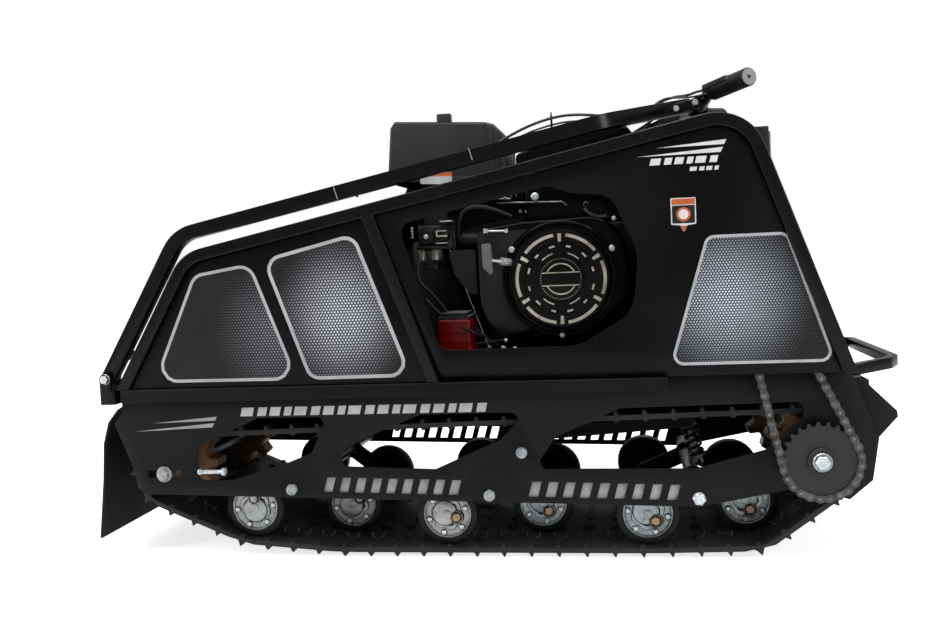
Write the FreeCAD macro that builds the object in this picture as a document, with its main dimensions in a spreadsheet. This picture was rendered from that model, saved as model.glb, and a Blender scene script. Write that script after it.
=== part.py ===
import FreeCAD, Part
import math
import os
import Sketcher
from FreeCAD import Placement, Rotation, Vector

# Tracked snow towing machine: one wide rubber track under a steel tunnel, an open-topped body with the
# engine in it, and a folding drawbar with a handlebar hinged at the rear corners.
# Frame: +X forward, +Z up, the origin on the ground under the middle of the machine. Millimetres.

doc = FreeCAD.newDocument("snow_tow_machine")
sheet = doc.addObject("Spreadsheet::Sheet", "dims")

DIMENSIONS = [
    # running gear, lengthwise
    ("track_mid", -7, "middle of the two axles, from the origin"),
    ("axle_spacing", 1184, "rear idler axle to front drive axle"),
    ("idler_height", 163, "rear axle above the ground"),
    ("drive_height", 180, "front axle above the ground"),
    # side plates
    ("plate_gap", 531, "clear width between the side plates"),
    ("plate_thick", 5, "side plate"),
    ("plate_top", 330, "top edge of the side plates, and the body floor"),
    ("plate_corner", 12, "rounding of the plate's openings"),
    ("axle_slot_long", 64, "slot that the idler axle slides in"),
    ("axle_slot_high", 14, "height of that slot"),
    ("insert_thick", 1.5, "light strips behind the slots of the lower rail"),
    ("sheet_wall", 2, "body sheet"),
    ("deck_wall", 3, "floor sheet over the track"),
    # track
    ("belt_wide", "=plate_gap - 31", "rubber track"),
    ("belt_thick", 5, "rubber carcass of the track"),
    ("lug_high", 12, "tread lug"),
    ("lug_base", 15, "tread lug at the carcass"),
    ("lug_tip", 5, "tread lug at its tip"),
    ("lug_count", 57, "lugs round the loop"),
    ("sprocket_wrap", 75, "inner face of the track at the front axle"),
    ("idler_wrap", 64, "inner face of the track at the rear axle"),
    # track sprockets and axles
    ("sprocket_teeth", 9, "teeth of a track sprocket"),
    ("idler_teeth", 8, "teeth of an idler sprocket"),
    ("tooth_high", 18, "tooth of a track sprocket"),
    ("sprocket_wide", 46, "track sprocket"),
    ("sprocket_offset", 150, "track sprockets each side of the middle"),
    ("drive_axle_bore", 15, "radius of the drive axle"),
    ("idler_axle_bore", 10, "radius of the idler axle"),
    ("running_gap", 0.3, "clearance of a seat or running fit"),
    # rollers
    ("roller_radius", 57, "road roller, over its rubber"),
    ("roller_hub", 44.5, "steel disc of a road roller"),
    ("roller_wide", 28, "rubber of a road roller"),
    ("roller_low", 74, "roller axle above the ground on the flat run"),
    ("outer_roller_y", "=plate_gap / 2 - 49.5", "outer rollers each side of the middle"),
    ("inner_roller_y", "=outer_roller_y - 78", "inner rollers each side of the middle"),
    ("roller_axle", 8, "radius of a roller axle"),
    ("pivot_tube", 14, "radius of the tubes that the bogie arms hang on"),
    ("arm_thick", 8, "bogie arm"),
    ("arm_high", 34, "bogie arm"),
    ("arm_y", "=inner_roller_y - 22", "bogie arms each side of the middle"),
    ("shock_y", "=arm_y - 28", "shock absorbers each side of the middle"),
    # final chain
    ("chain_y", "=plate_gap / 2 + 29.5", "chain line right of the middle"),
    ("chain_wide", 10, "roller chain"),
    ("chain_high", 14, "roller chain"),
    ("big_sprocket", 63.3, "pitch radius on the drive axle"),
    ("small_sprocket", 33.2, "pitch radius on the jackshaft"),
    ("sprocket_thick", 8, "chain sprockets"),
    ("jackshaft_x", "=track_mid + axle_spacing / 2 - 83", "jackshaft from the origin"),
    ("jackshaft_height", 416, "jackshaft above the ground"),
    ("jackshaft_radius", 12.5, "jackshaft"),
    # body
    ("body_half", "=plate_gap / 2 + 52.5", "outer face of the body tubes from the middle"),
    ("tube", 22, "square body tube"),
    ("rail_high", 24, "sill rail under the body"),
    ("hoop_rear_corner", 80, "outer bend of the hoop at the rear"),
    ("hoop_front_corner", 85, "outer bend of the hoop at the front"),
    ("rear_height", 575.8, "hoop corner at the rear, above the ground"),
    ("front_height", 779, "hoop corner at the front, above the ground"),
    ("panel_inset", 8, "side panels behind the outer face of the tubes"),
    ("panel_gap", 1, "between a side panel and its tubes"),
    # engine
    ("engine_x", 158, "crankshaft from the origin"),
    ("engine_height", 500, "crankshaft above the ground"),
    ("engine_long", 288, "engine block"),
    ("engine_wide", 280, "engine block along the crankshaft"),
    ("engine_tall", 255, "engine block"),
    ("engine_foot", 15, "feet under the block"),
    ("shroud_deep", 62, "fan shroud"),
    ("recoil_radius", 91, "recoil starter cover"),
    ("recoil_deep", 26, "recoil starter cover"),
    # drawbar
    ("hinge_x", "=track_mid - axle_spacing * 0.579814", "drawbar hinge from the origin"),
    ("hinge_height", 348, "drawbar hinge above the ground"),
    ("hinge_bolt", 6, "radius of the hinge bolt"),
    ("drawbar_tube", 25, "square drawbar tube"),
    ("drawbar_y", "=body_half - 43", "drawbar arms each side of the middle"),
    ("drawbar_bend", 70, "bend of the drawbar arm"),
    ("handlebar_radius", 11, "handlebar tube"),
    ("grip_radius", 16, "rubber grip"),
    ("tow_pin", 8.5, "radius of the hole in the towing tongue"),
]

for row, (alias, value, note) in enumerate(DIMENSIONS, start=1):
    sheet.set(f"A{row}", alias)
    sheet.set(f"B{row}", str(value))
    sheet.set(f"C{row}", note)
    sheet.setAlias(f"B{row}", alias)
doc.recompute()

NOMINAL_SPACING = 1184
NOMINAL_MID = -7
parts = []


def dim(alias):
    """The value of a driving dimension."""
    return float(getattr(sheet, alias))


def at(x):
    """Expression for a place along the machine, given for the nominal axle spacing."""
    return f"(dims.track_mid + dims.axle_spacing * {(x - NOMINAL_MID) / NOMINAL_SPACING:.5f})"


def up(z):
    """Expression for a height, measured from the body floor."""
    return f"(dims.plate_top + {z - 330})"


def value_of(expression):
    """The number that an expression gives now."""
    return float(sheet.evalExpression(str(expression)))


def keep(label, thing):
    """Name a finished sub-part."""
    thing.Label = label
    parts.append(thing)
    return thing


def origin_plane(body, role):
    """One of a body's own origin planes."""
    return [item for item in body.Origin.OriginFeatures if item.Role == role][0]


def new_body(label):
    """An empty PartDesign body under its node name."""
    body = doc.addObject("PartDesign::Body", label)
    return keep(label, body)


def new_sketch(body, name, role):
    """A sketch on one of the body's origin planes."""
    sketch = body.newObject("Sketcher::SketchObject", name)
    sketch.AttachmentSupport = (origin_plane(body, role), "")
    sketch.MapMode = "FlatFace"
    return sketch


def draw_outline(sketch, corners):
    """Closed straight-sided outline, each corner placed by two expressions."""
    spots = [Vector(value_of(a), value_of(b), 0) for a, b in corners]
    first = sketch.GeometryCount
    count = len(spots)
    for k in range(count):
        sketch.addGeometry(Part.LineSegment(spots[k], spots[(k + 1) % count]), False)
    for k in range(count):
        here, there = first + k, first + (k + 1) % count
        sketch.addConstraint(Sketcher.Constraint("Coincident", here, 2, there, 1))
    for k, (a, b) in enumerate(corners):
        for kind, expression, number in (("DistanceX", a, spots[k].x), ("DistanceY", b, spots[k].y)):
            index = sketch.addConstraint(Sketcher.Constraint(kind, -1, 1, first + k, 1, number))
            sketch.setExpression(f"Constraints[{index}]", str(expression))


def draw_circle(sketch, a, b, radius):
    """Circle whose centre and radius are expressions."""
    centre = Vector(value_of(a), value_of(b), 0)
    shape = Part.Circle(centre, Vector(0, 0, 1), value_of(radius))
    item = sketch.addGeometry(shape, False)
    for kind, expression, number in (("DistanceX", a, centre.x), ("DistanceY", b, centre.y)):
        index = sketch.addConstraint(Sketcher.Constraint(kind, -1, 1, item, 3, number))
        sketch.setExpression(f"Constraints[{index}]", str(expression))
    index = sketch.addConstraint(Sketcher.Constraint("Radius", item, value_of(radius)))
    sketch.setExpression(f"Constraints[{index}]", str(radius))


def pad(body, sketch, length, name="pad"):
    """Pad a sketch by an expression's length, towards -Y from the XZ plane and +Z from the XY plane."""
    feature = body.newObject("PartDesign::Pad", name)
    feature.Profile = sketch
    feature.setExpression("Length", str(length))
    sketch.Visibility = False
    doc.recompute()
    return feature


def pocket(body, sketch, length, name="pocket"):
    """Cut a sketch through the body, and make sure that it did cut."""
    before = body.Shape.Volume
    feature = body.newObject("PartDesign::Pocket", name)
    feature.Profile = sketch
    feature.setExpression("Length", f"{length} + 2")
    feature.Midplane = False
    feature.Reversed = True
    doc.recompute()
    if body.Shape.Volume > before - 1:
        feature.Reversed = False
        doc.recompute()
    if body.Shape.Volume > before - 1:
        raise RuntimeError(f"{body.Label}: {name} cuts nothing")
    return feature


def round_edges(body, radius, wanted, name="rounding"):
    """Fillet every edge across the sheet whose (x, z) foot is one of the wanted spots."""
    spots = [(value_of(a), value_of(b)) for a, b in wanted]
    names = []
    for number, edge in enumerate(body.Tip.Shape.Edges, start=1):
        ends = [vertex.Point for vertex in edge.Vertexes]
        if len(ends) != 2 or abs(ends[0].x - ends[1].x) > 0.01 or abs(ends[0].z - ends[1].z) > 0.01:
            continue
        if any(math.hypot(ends[0].x - x, ends[0].z - z) < 0.5 for x, z in spots):
            names.append(f"Edge{number}")
    if len(names) != len(spots):
        raise RuntimeError(f"{body.Label}: {name} found {len(names)} of {len(spots)} edges")
    base = body.Tip
    feature = body.newObject("PartDesign::Fillet", name)
    feature.Base = (base, names)
    feature.setExpression("Radius", str(radius))
    doc.recompute()
    return feature


def place(thing, x=None, y=None, z=None, rotation=None):
    """Placement by expressions."""
    if rotation is not None:
        thing.Placement = Placement(Vector(), rotation)
    for axis, expression in (("x", x), ("y", y), ("z", z)):
        if expression is not None:
            thing.setExpression(f"Placement.Base.{axis}", str(expression))


def box(name, x, y, z, sizes):
    """Part box by its low corner and three sizes, all expressions."""
    thing = doc.addObject("Part::Box", name)
    for key, expression in zip(("Length", "Width", "Height"), sizes):
        thing.setExpression(key, str(expression))
    place(thing, x, y, z)
    return thing


ALONG_Y = Rotation(Vector(1, 0, 0), -90)
ALONG_X = Rotation(Vector(0, 1, 0), 90)


def rod(name, radius, length, x, y, z, rotation=ALONG_Y):
    """Part cylinder that starts at a point and runs along +Y, or as its rotation says."""
    thing = doc.addObject("Part::Cylinder", name)
    thing.setExpression("Radius", str(radius))
    thing.setExpression("Height", str(length))
    place(thing, x, y, z, rotation)
    return thing


def joined(label, things):
    """Several shapes in one node."""
    fuse = doc.addObject("Part::MultiFuse", label)
    fuse.Shapes = things
    fuse.Refine = False
    return keep(label, fuse)


def gathered(label, things):
    """Several shapes that don't touch, kept apart in one node."""
    group = doc.addObject("Part::Compound", label)
    group.Links = things
    return keep(label, group)


def drilled(name, solid, holes):
    """A solid with other shapes cut out of it."""
    tool = holes[0]
    if len(holes) > 1:
        tool = doc.addObject("Part::MultiFuse", name + "_holes")
        tool.Shapes = holes
    cut = doc.addObject("Part::Cut", name)
    cut.Base = solid
    cut.Tool = tool
    return cut


def coded(label, shape):
    """A sub-part whose shape is computed from the sheet's values."""
    thing = doc.addObject("Part::Feature", label)
    thing.Shape = shape
    return keep(label, thing)


def prism(points, low_y, high_y):
    """Straight-sided plate between two Y planes, from its (x, z) outline."""
    wire = Part.makePolygon([Vector(x, low_y, z) for x, z in points + points[:1]])
    return Part.Face(wire).extrude(Vector(0, high_y - low_y, 0))


def bent_path(points, radii):
    """Wire through points, with a tangent arc of the given radius at each inner one."""
    edges = []
    start = points[0]
    for k in range(1, len(points) - 1):
        corner = points[k]
        back = (points[k - 1] - corner).normalize()
        ahead = (points[k + 1] - corner).normalize()
        half = back.getAngle(ahead) / 2
        reach = radii[k - 1] / math.tan(half)
        first, last = corner + back * reach, corner + ahead * reach
        inward = (back + ahead).normalize()
        centre = corner + inward * (radii[k - 1] / math.sin(half))
        middle = centre - inward * radii[k - 1]
        edges.append(Part.LineSegment(start, first).toShape())
        edges.append(Part.Arc(first, middle, last).toShape())
        start = last
    edges.append(Part.LineSegment(start, points[-1]).toShape())
    return Part.Wire(edges)


def swept(path, section):
    """Solid of a section swept along a path."""
    return path.makePipeShell([section], True, False)


def square_section(start, direction, across, width, height):
    """Rectangle across a path's start: width along `across`, height along the third direction."""
    side = Vector(across).normalize() * (width / 2)
    rise = Vector(direction).cross(Vector(across)).normalize() * (height / 2)
    corners = [start + side + rise, start - side + rise, start - side - rise, start + side - rise]
    return Part.makePolygon(corners + corners[:1])


def round_section(start, direction, radius):
    """Circle across a path's start."""
    return Part.Wire(Part.Circle(start, direction, radius).toShape())


# --- chassis -------------------------------------------------------------------------------------

SIDES = (("right", -1), ("left", 1))
IDLER_X = "(dims.track_mid - dims.axle_spacing / 2)"
DRIVE_X = "(dims.track_mid + dims.axle_spacing / 2)"
PLATE_OUTLINE = [
    (-676, 330), (-676, 282), (-694, 260), (-642, 125), (-480, 122), (386, 97),
    (406, 101), (560, 131), (634, 109), (672, 142), (683, 213), (640, 330),
]
REAR_OPENING = [(-532, 150), (-465, 150), (-358, 181), (-308, 200), (-276, 266), (-409, 266), (-532, 212)]
MIDDLE_OPENING = [(-252, 174), (-78, 167), (42, 219), (92, 268), (-102, 267), (-206, 226), (-252, 202)]
FRONT_OPENING = [(100, 166), (382, 164), (500, 196), (562, 252), (562, 277), (255, 272), (141, 223)]


def places(points):
    """Expressions for a list of nominal (x, z) points."""
    return [(at(x), up(z)) for x, z in points]


SLOT_GROUPS = [(-290, -27, 9), (88, 360, 9)]
SLOT_WIDE, SLOT_HIGH, SLOT_LEAN = 17, 28, 8


def slot_corners(group_start, pitch, k):
    """Corners of one slanted slot of the lower rail."""
    left = group_start + pitch * k
    foot = 126 - 0.0286 * (left + 290)
    return [(left, foot), (left + SLOT_WIDE, foot), (left + SLOT_WIDE + SLOT_LEAN, foot + SLOT_HIGH),
            (left + SLOT_LEAN, foot + SLOT_HIGH)]


def side_plate(side, sign):
    """Steel side plate of the track tunnel, with its weight-saving openings and the idler axle slot."""
    body = new_body(f"side_plate_{side}")
    outline = new_sketch(body, "outline", "XZ_Plane")
    draw_outline(outline, places(PLATE_OUTLINE))
    pad(body, outline, "dims.plate_thick", "plate")
    for name, opening in (("rear", REAR_OPENING), ("middle", MIDDLE_OPENING), ("front", FRONT_OPENING)):
        sketch = new_sketch(body, f"{name}_opening", "XZ_Plane")
        draw_outline(sketch, places(opening))
        pocket(body, sketch, "dims.plate_thick", f"{name}_cut")
        round_edges(body, "dims.plate_corner", places(opening), f"{name}_rounding")
    slots = new_sketch(body, "rail_slots", "XZ_Plane")
    for start, end, count in SLOT_GROUPS:
        for k in range(count):
            draw_outline(slots, places(slot_corners(start, (end - start) / count, k)))
    pocket(body, slots, "dims.plate_thick", "rail_slots_cut")
    slot = new_sketch(body, "axle_slot", "XZ_Plane")
    centre = "(dims.track_mid - dims.axle_spacing / 2)"
    long_side, high_side = "dims.axle_slot_long / 2", "dims.axle_slot_high / 2"
    draw_outline(slot, [
        (f"{centre} {a} {long_side}", f"dims.idler_height {b} {high_side}")
        for a, b in (("-", "-"), ("+", "-"), ("+", "+"), ("-", "+"))
    ])
    pocket(body, slot, "dims.plate_thick", "slot_cut")
    hole = new_sketch(body, "axle_hole", "XZ_Plane")
    draw_circle(hole, DRIVE_X, "dims.drive_height", "dims.drive_axle_bore + dims.running_gap")
    pocket(body, hole, "dims.plate_thick", "hole_cut")
    offset = "dims.plate_gap / 2 + dims.plate_thick" if sign > 0 else "-dims.plate_gap / 2"
    place(body, y=offset)
    return body


def slot_inserts():
    """Light strips behind the slots of the right plate."""
    body = new_body("slot_inserts")
    sketch = new_sketch(body, "outline", "XZ_Plane")
    for start, end, count in SLOT_GROUPS:
        pitch = (end - start) / count
        first, last = slot_corners(start, pitch, 0), slot_corners(start, pitch, count - 1)
        margin = 5
        draw_outline(sketch, places([
            (first[0][0] - margin, first[0][1] - margin), (last[1][0] + margin, last[1][1] - margin),
            (last[2][0] + margin, last[2][1] + margin), (first[3][0] - margin, first[3][1] + margin)]))
    pad(body, sketch, "dims.insert_thick", "strip")
    place(body, y="-dims.plate_gap / 2 + dims.insert_thick")
    return body


RAIL_REAR, RAIL_FRONT = -652, 337
DECK_REAR, DECK_FRONT = -655, 640


def deck():
    """Floor sheet between the side plates, over the track."""
    thing = box("deck_floor", at(DECK_REAR), "-dims.plate_gap / 2", "dims.plate_top - dims.deck_wall",
                (f"{at(DECK_FRONT)} - {at(DECK_REAR)}", "dims.plate_gap", "dims.deck_wall"))
    return keep("deck_floor", thing)


def sill_rails():
    """Square sills outside the plates, under the body."""
    inner = "(dims.plate_gap / 2 + dims.plate_thick)"
    rails = []
    for side, sign in SIDES:
        low_y = inner if sign > 0 else "-dims.body_half"
        rails.append(box(f"sill_{side}", at(RAIL_REAR), low_y, "dims.plate_top - dims.rail_high",
                         (f"{at(RAIL_FRONT)} - {at(RAIL_REAR)}", f"dims.body_half - {inner}",
                          "dims.rail_high")))
    return gathered("sill_rails", rails)


# --- track and what it runs on -------------------------------------------------------------------

STATIONS = [(-440, 14, "outer"), (-269, 0, "inner"), (-68, 0, "outer"),
            (103, 0, "inner"), (297, 0, "outer"), (476, 4, "inner")]


def station_centre(x, lift):
    """Axle centre of a roller station."""
    return value_of(at(x)), dim("roller_low") + lift


def hull_of_circles(circles, grow):
    """Closed wire of arcs and tangents round circles (x, z, radius), listed anticlockwise."""
    count = len(circles)
    normals = []
    for k in range(count):
        x1, z1, r1 = circles[k]
        x2, z2, r2 = circles[(k + 1) % count]
        along_x, along_z = x2 - x1, z2 - z1
        length = math.hypot(along_x, along_z)
        along_x, along_z = along_x / length, along_z / length
        lean = math.asin((r1 - r2) / length)
        normals.append(Vector(along_z * math.cos(lean) + along_x * math.sin(lean), 0,
                              -along_x * math.cos(lean) + along_z * math.sin(lean)))
    edges = []
    for k in range(count):
        x, z, radius = circles[k]
        centre = Vector(x, 0, z)
        before, after = normals[k - 1], normals[k]
        middle = (before + after)
        if middle.Length < 0.2:
            middle = Vector(-before.z, 0, before.x)
        if before.x * after.z - before.z * after.x < 0:
            middle = middle * -1
        middle.normalize()
        reach = radius + grow
        edges.append(Part.Arc(centre + before * reach, centre + middle * reach,
                              centre + after * reach).toShape())
        x2, z2, r2 = circles[(k + 1) % count]
        edges.append(Part.LineSegment(centre + after * reach,
                                      Vector(x2, 0, z2) + after * (r2 + grow)).toShape())
    return Part.Wire(edges)


def ring_between(outer, inner, low_y, high_y):
    """Band between two closed wires, from one Y plane to another."""
    face = Part.Face(outer).cut(Part.Face(inner))
    face.translate(Vector(0, low_y, 0))
    return face.extrude(Vector(0, high_y - low_y, 0))


def track_circles():
    """What the track's inner face lies on, anticlockwise from the idler."""
    circles = [(value_of(IDLER_X), dim("idler_height"), dim("idler_wrap"))]
    for x, lift, kind in (STATIONS[0], STATIONS[1], STATIONS[4], STATIONS[5]):
        cx, cz = station_centre(x, lift)
        circles.append((cx, cz, dim("roller_radius")))
    circles.append((value_of(DRIVE_X), dim("drive_height"), dim("sprocket_wrap")))
    return circles


def track_belt():
    """Rubber loop with a row of lugs across it at each pitch."""
    circles = track_circles()
    outer = hull_of_circles(circles, dim("belt_thick"))
    inner = hull_of_circles(circles, 0)
    half = dim("belt_wide") / 2
    belt = ring_between(outer, inner, -half, half)
    pitch = outer.Length / dim("lug_count")
    lugs = []
    sink, base, tip, high = 1.0, dim("lug_base") / 2, dim("lug_tip") / 2, dim("lug_high")
    ordered = outer.OrderedEdges
    travelled, reached = 0.0, 0
    for edge in ordered:
        while reached * pitch < travelled + edge.Length and reached < dim("lug_count"):
            parameter = edge.getParameterByLength(reached * pitch - travelled)
            if edge.Orientation == "Reversed":
                parameter = edge.getParameterByLength(edge.Length - (reached * pitch - travelled))
            spot = edge.valueAt(parameter)
            along = edge.tangentAt(parameter)
            out = Vector(along.z, 0, -along.x)
            if not Part.Face(outer).isInside(spot - out * 2, 0.01, True):
                out = out * -1
            corners = [spot - along * base - out * sink, spot + along * base - out * sink,
                       spot + along * tip + out * high, spot - along * tip + out * high]
            lugs.append(prism([(c.x, c.z) for c in corners], -half, half))
            reached += 1
        travelled += edge.Length
    return coded("track_belt", belt.multiFuse(lugs).removeSplitter())


def star_face(x, z, tip, root, teeth, bore):
    """Toothed disc with a bore, in the XZ plane."""
    points = []
    for k in range(teeth):
        for turn, radius in ((-0.30, root), (-0.14, tip), (0.14, tip), (0.30, root)):
            angle = 2 * math.pi * (k + turn) / teeth
            points.append((x + radius * math.cos(angle), z + radius * math.sin(angle)))
    outline = Part.makePolygon([Vector(a, 0, b) for a, b in points + points[:1]])
    hole = Part.Wire(Part.Circle(Vector(x, 0, z), Vector(0, 1, 0), bore).toShape())
    return Part.Face(outline).cut(Part.Face(hole))


def track_sprockets(label, x, z, bore, wrap, teeth):
    """Pair of toothed plastic wheels that the track wraps."""
    half = dim("sprocket_wide") / 2
    tip = wrap - 2 * dim("running_gap")
    face = star_face(x, z, tip, tip - dim("tooth_high"), int(teeth), bore + dim("running_gap"))
    solids = []
    for side, sign in SIDES:
        piece = face.copy()
        piece.translate(Vector(0, sign * dim("sprocket_offset") - half, 0))
        solids.append(piece.extrude(Vector(0, 2 * half, 0)))
    return coded(label, Part.makeCompound(solids))


def drive_axle():
    """Axle of the drive sprockets, through both plates and out to the chain sprocket."""
    right = "(dims.chain_y + 13)"
    return keep("drive_axle", rod("drive_axle", "dims.drive_axle_bore",
                                  f"{right} + dims.plate_gap / 2 + 22", DRIVE_X, f"-{right}",
                                  "dims.drive_height"))


def drive_bearings():
    """Flanged bearings on the outer faces of the plates."""
    faces = []
    outer = "(dims.plate_gap / 2 + dims.plate_thick)"
    for side, sign in SIDES:
        low_y = outer if sign > 0 else f"-{outer} - 14"
        flange = rod(f"bearing_flange_{side}", "dims.drive_axle_bore + 23", "14", DRIVE_X, low_y,
                     "dims.drive_height")
        bore = rod(f"bearing_bore_{side}", "dims.drive_axle_bore + dims.running_gap", "16", DRIVE_X,
                   f"{low_y} - 1", "dims.drive_height")
        faces.append(drilled(f"bearing_{side}", flange, [bore]))
    return gathered("drive_bearings", faces)


def idler_axle():
    """Axle of the idler sprockets, clamped in the slots by a bolt and washer at each end."""
    outer = "(dims.plate_gap / 2 + dims.plate_thick)"
    z = "dims.idler_height"
    return joined("idler_axle", [
        rod("idler_shaft", "dims.idler_axle_bore", "dims.plate_gap", IDLER_X, "-dims.plate_gap / 2", z),
        rod("idler_bolt", "dims.axle_slot_high / 2 - 1", f"2 * {outer} + 20", IDLER_X, f"-{outer} - 10", z),
        rod("idler_washer_right", "15", "3", IDLER_X, f"-{outer} - 3", z),
        rod("idler_washer_left", "15", "3", IDLER_X, outer, z),
        rod("idler_head_right", "10.5", "8", IDLER_X, f"-{outer} - 11", z),
        rod("idler_head_left", "10.5", "8", IDLER_X, f"{outer} + 3", z),
    ])


def track_tensioners():
    """Bolts that push the idler axle back and set the track's tension."""
    bolts = []
    for side, sign in SIDES:
        y = sign * (dim("plate_gap") + dim("plate_thick")) / 2
        z = dim("idler_height") + 3
        start = value_of(at(REAR_OPENING[0][0])) + 0.2
        shank = Part.makeCylinder(4, 54, Vector(start, y, z), Vector(1, 0, 0))
        nut = Part.makeCylinder(5.5, 7, Vector(start, y, z), Vector(1, 0, 0))
        head = Part.makeCylinder(7.5, 7, Vector(start + 47, y, z), Vector(1, 0, 0))
        bolts.append(shank.multiFuse([nut, head]))
    return coded("track_tensioners", Part.makeCompound(bolts))


def rollers():
    """Rubber rings and steel discs of the road rollers, as two nodes."""
    rubber, discs = [], []
    wide, hub = dim("roller_wide"), dim("roller_hub")
    for x, lift, kind in STATIONS:
        cx, cz = station_centre(x, lift)
        for side, sign in SIDES:
            low = Vector(cx, sign * dim(f"{kind}_roller_y") - wide / 2, cz)
            ring = Part.makeCylinder(dim("roller_radius") - dim("running_gap"), wide, low, Vector(0, 1, 0))
            rubber.append(ring.cut(Part.makeCylinder(hub + 0.1, wide, low, Vector(0, 1, 0))))
            low = low + Vector(0, 4, 0)
            disc = Part.makeCylinder(hub, wide - 8, low, Vector(0, 1, 0))
            bore = Part.makeCylinder(dim("roller_axle") + 0.1, wide, low, Vector(0, 1, 0))
            discs.append(disc.cut(bore))
    coded("roller_rubbers", Part.makeCompound(rubber))
    coded("roller_discs", Part.makeCompound(discs))


def roller_axles():
    """Rod through each pair of rollers and the bogie arms inside them."""
    rods = []
    for x, lift, kind in STATIONS:
        cx, cz = station_centre(x, lift)
        reach = dim(f"{kind}_roller_y") + dim("roller_wide") / 2 + 3
        rods.append(Part.makeCylinder(dim("roller_axle"), 2 * reach, Vector(cx, -reach, cz),
                                      Vector(0, 1, 0)))
    return coded("roller_axles", Part.makeCompound(rods))


PIVOTS = [(-348, 133), (19, 120), (385, 112)]
UPPER_TUBE = (80, 197)
SHOCK_TOP = (378, 218)
SHOCK_FOOT = (398, 140)


def bar_between(a, b, half, low_y, high_y):
    """Flat bar with round ends between two (x, z) points."""
    start, end = Vector(a[0], low_y, a[1]), Vector(b[0], low_y, b[1])
    run = end - start
    side = Vector(-run.z, 0, run.x).normalize() * half
    wide = Vector(0, high_y - low_y, 0)
    middle = Part.Face(Part.makePolygon([start + side, end + side, end - side, start - side,
                                         start + side])).extrude(wide)
    ends = [Part.makeCylinder(half, high_y - low_y, spot, Vector(0, 1, 0)) for spot in (start, end)]
    return middle.multiFuse(ends)


def pierced(shape, spots, radius):
    """A plate with round holes across it."""
    holes = [Part.makeCylinder(radius, 800, Vector(x, -400, z), Vector(0, 1, 0)) for x, z in spots]
    return shape.cut(holes[0].multiFuse(holes[1:])) if len(holes) > 1 else shape.cut(holes[0])


def pivot_spot(x, z):
    """Place of a cross tube of the suspension."""
    return value_of(at(x)), dim("roller_low") + z - 74


def bogie_arms():
    """Rocking arms: each pair carries one outer and one inner roller axle on a cross tube."""
    arms = []
    for k, (x, z) in enumerate(PIVOTS):
        pivot = pivot_spot(x, z)
        rear = station_centre(*STATIONS[2 * k][:2])
        front = station_centre(*STATIONS[2 * k + 1][:2])
        for side, sign in SIDES:
            low = sign * dim("arm_y") - dim("arm_thick") / 2
            high = low + dim("arm_thick")
            half = dim("arm_high") / 2
            arm = bar_between(rear, pivot, half, low, high).fuse(bar_between(pivot, front, half, low, high))
            boss = Part.makeCylinder(dim("pivot_tube") + 9, high - low, Vector(pivot[0], low, pivot[1]),
                                     Vector(0, 1, 0))
            arm = pierced(arm.fuse(boss), [pivot], dim("pivot_tube") + dim("running_gap"))
            arms.append(pierced(arm, [rear, front], dim("roller_axle") + 0.1))
    return coded("bogie_arms", Part.makeCompound(arms))


def cross_tubes():
    """Tubes between the side plates, with a bolt head on each plate."""
    solids = []
    inner = dim("plate_gap") / 2
    outer = inner + dim("plate_thick")
    for x, z in PIVOTS + [UPPER_TUBE]:
        cx, cz = pivot_spot(x, z)
        radius = dim("pivot_tube") if (x, z) != UPPER_TUBE else 10
        solids.append(Part.makeCylinder(radius, 2 * inner, Vector(cx, -inner, cz), Vector(0, 1, 0)))
        for start in (-outer - 9, outer):
            solids.append(Part.makeCylinder(10, 9, Vector(cx, start, cz), Vector(0, 1, 0)))
    return coded("suspension_cross_tubes", Part.makeCompound(solids))


def shock_absorbers():
    """Sprung struts from the long arms down to the front bogie, each on a pin."""
    top, foot = pivot_spot(*SHOCK_TOP), pivot_spot(*SHOCK_FOOT)
    tube_place = pivot_spot(*UPPER_TUBE)
    struts, arms = [], []
    for side, sign in SIDES:
        y = sign * dim("shock_y")
        start, end = Vector(top[0], y, top[1]), Vector(foot[0], y, foot[1])
        run = (end - start).normalize()
        spring = Part.makeCylinder(16, (end - start).Length - 14, start + run * 7, run)
        eyes = [Part.makeCylinder(9, 16, spot - Vector(0, 8, 0), Vector(0, 1, 0)) for spot in (start, end)]
        struts.append(pierced(spring.multiFuse(eyes), [top, foot], 4.1))
        for low in (y - 22, y + 17):
            arms.append(pierced(pierced(bar_between(tube_place, top, 11, low, low + 5), [top], 4.1),
                                [tube_place], 10.2))
        arms.append(Part.makeCylinder(4, 44, Vector(top[0], y - 22, top[1]), Vector(0, 1, 0)))
    reach = dim("arm_y") - dim("arm_thick") / 2
    arms.append(Part.makeCylinder(4, 2 * reach, Vector(foot[0], -reach, foot[1]), Vector(0, 1, 0)))
    coded("shock_absorbers", Part.makeCompound(struts))
    coded("shock_links", Part.makeCompound(arms))


# --- final chain ---------------------------------------------------------------------------------

def chain_circles():
    """Pitch circles of the chain, anticlockwise from the jackshaft."""
    return [
        (dim("jackshaft_x"), dim("jackshaft_height"), dim("small_sprocket")),
        (value_of(DRIVE_X), dim("drive_height"), dim("big_sprocket")),
    ]


def drive_chain():
    """Roller chain round both sprockets."""
    circles = chain_circles()
    half_high, half_wide = dim("chain_high") / 2, dim("chain_wide") / 2
    outer = hull_of_circles(circles, half_high)
    inner = hull_of_circles(circles, -half_high)
    y = -dim("chain_y")
    return coded("drive_chain", ring_between(outer, inner, y - half_wide, y + half_wide))


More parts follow.
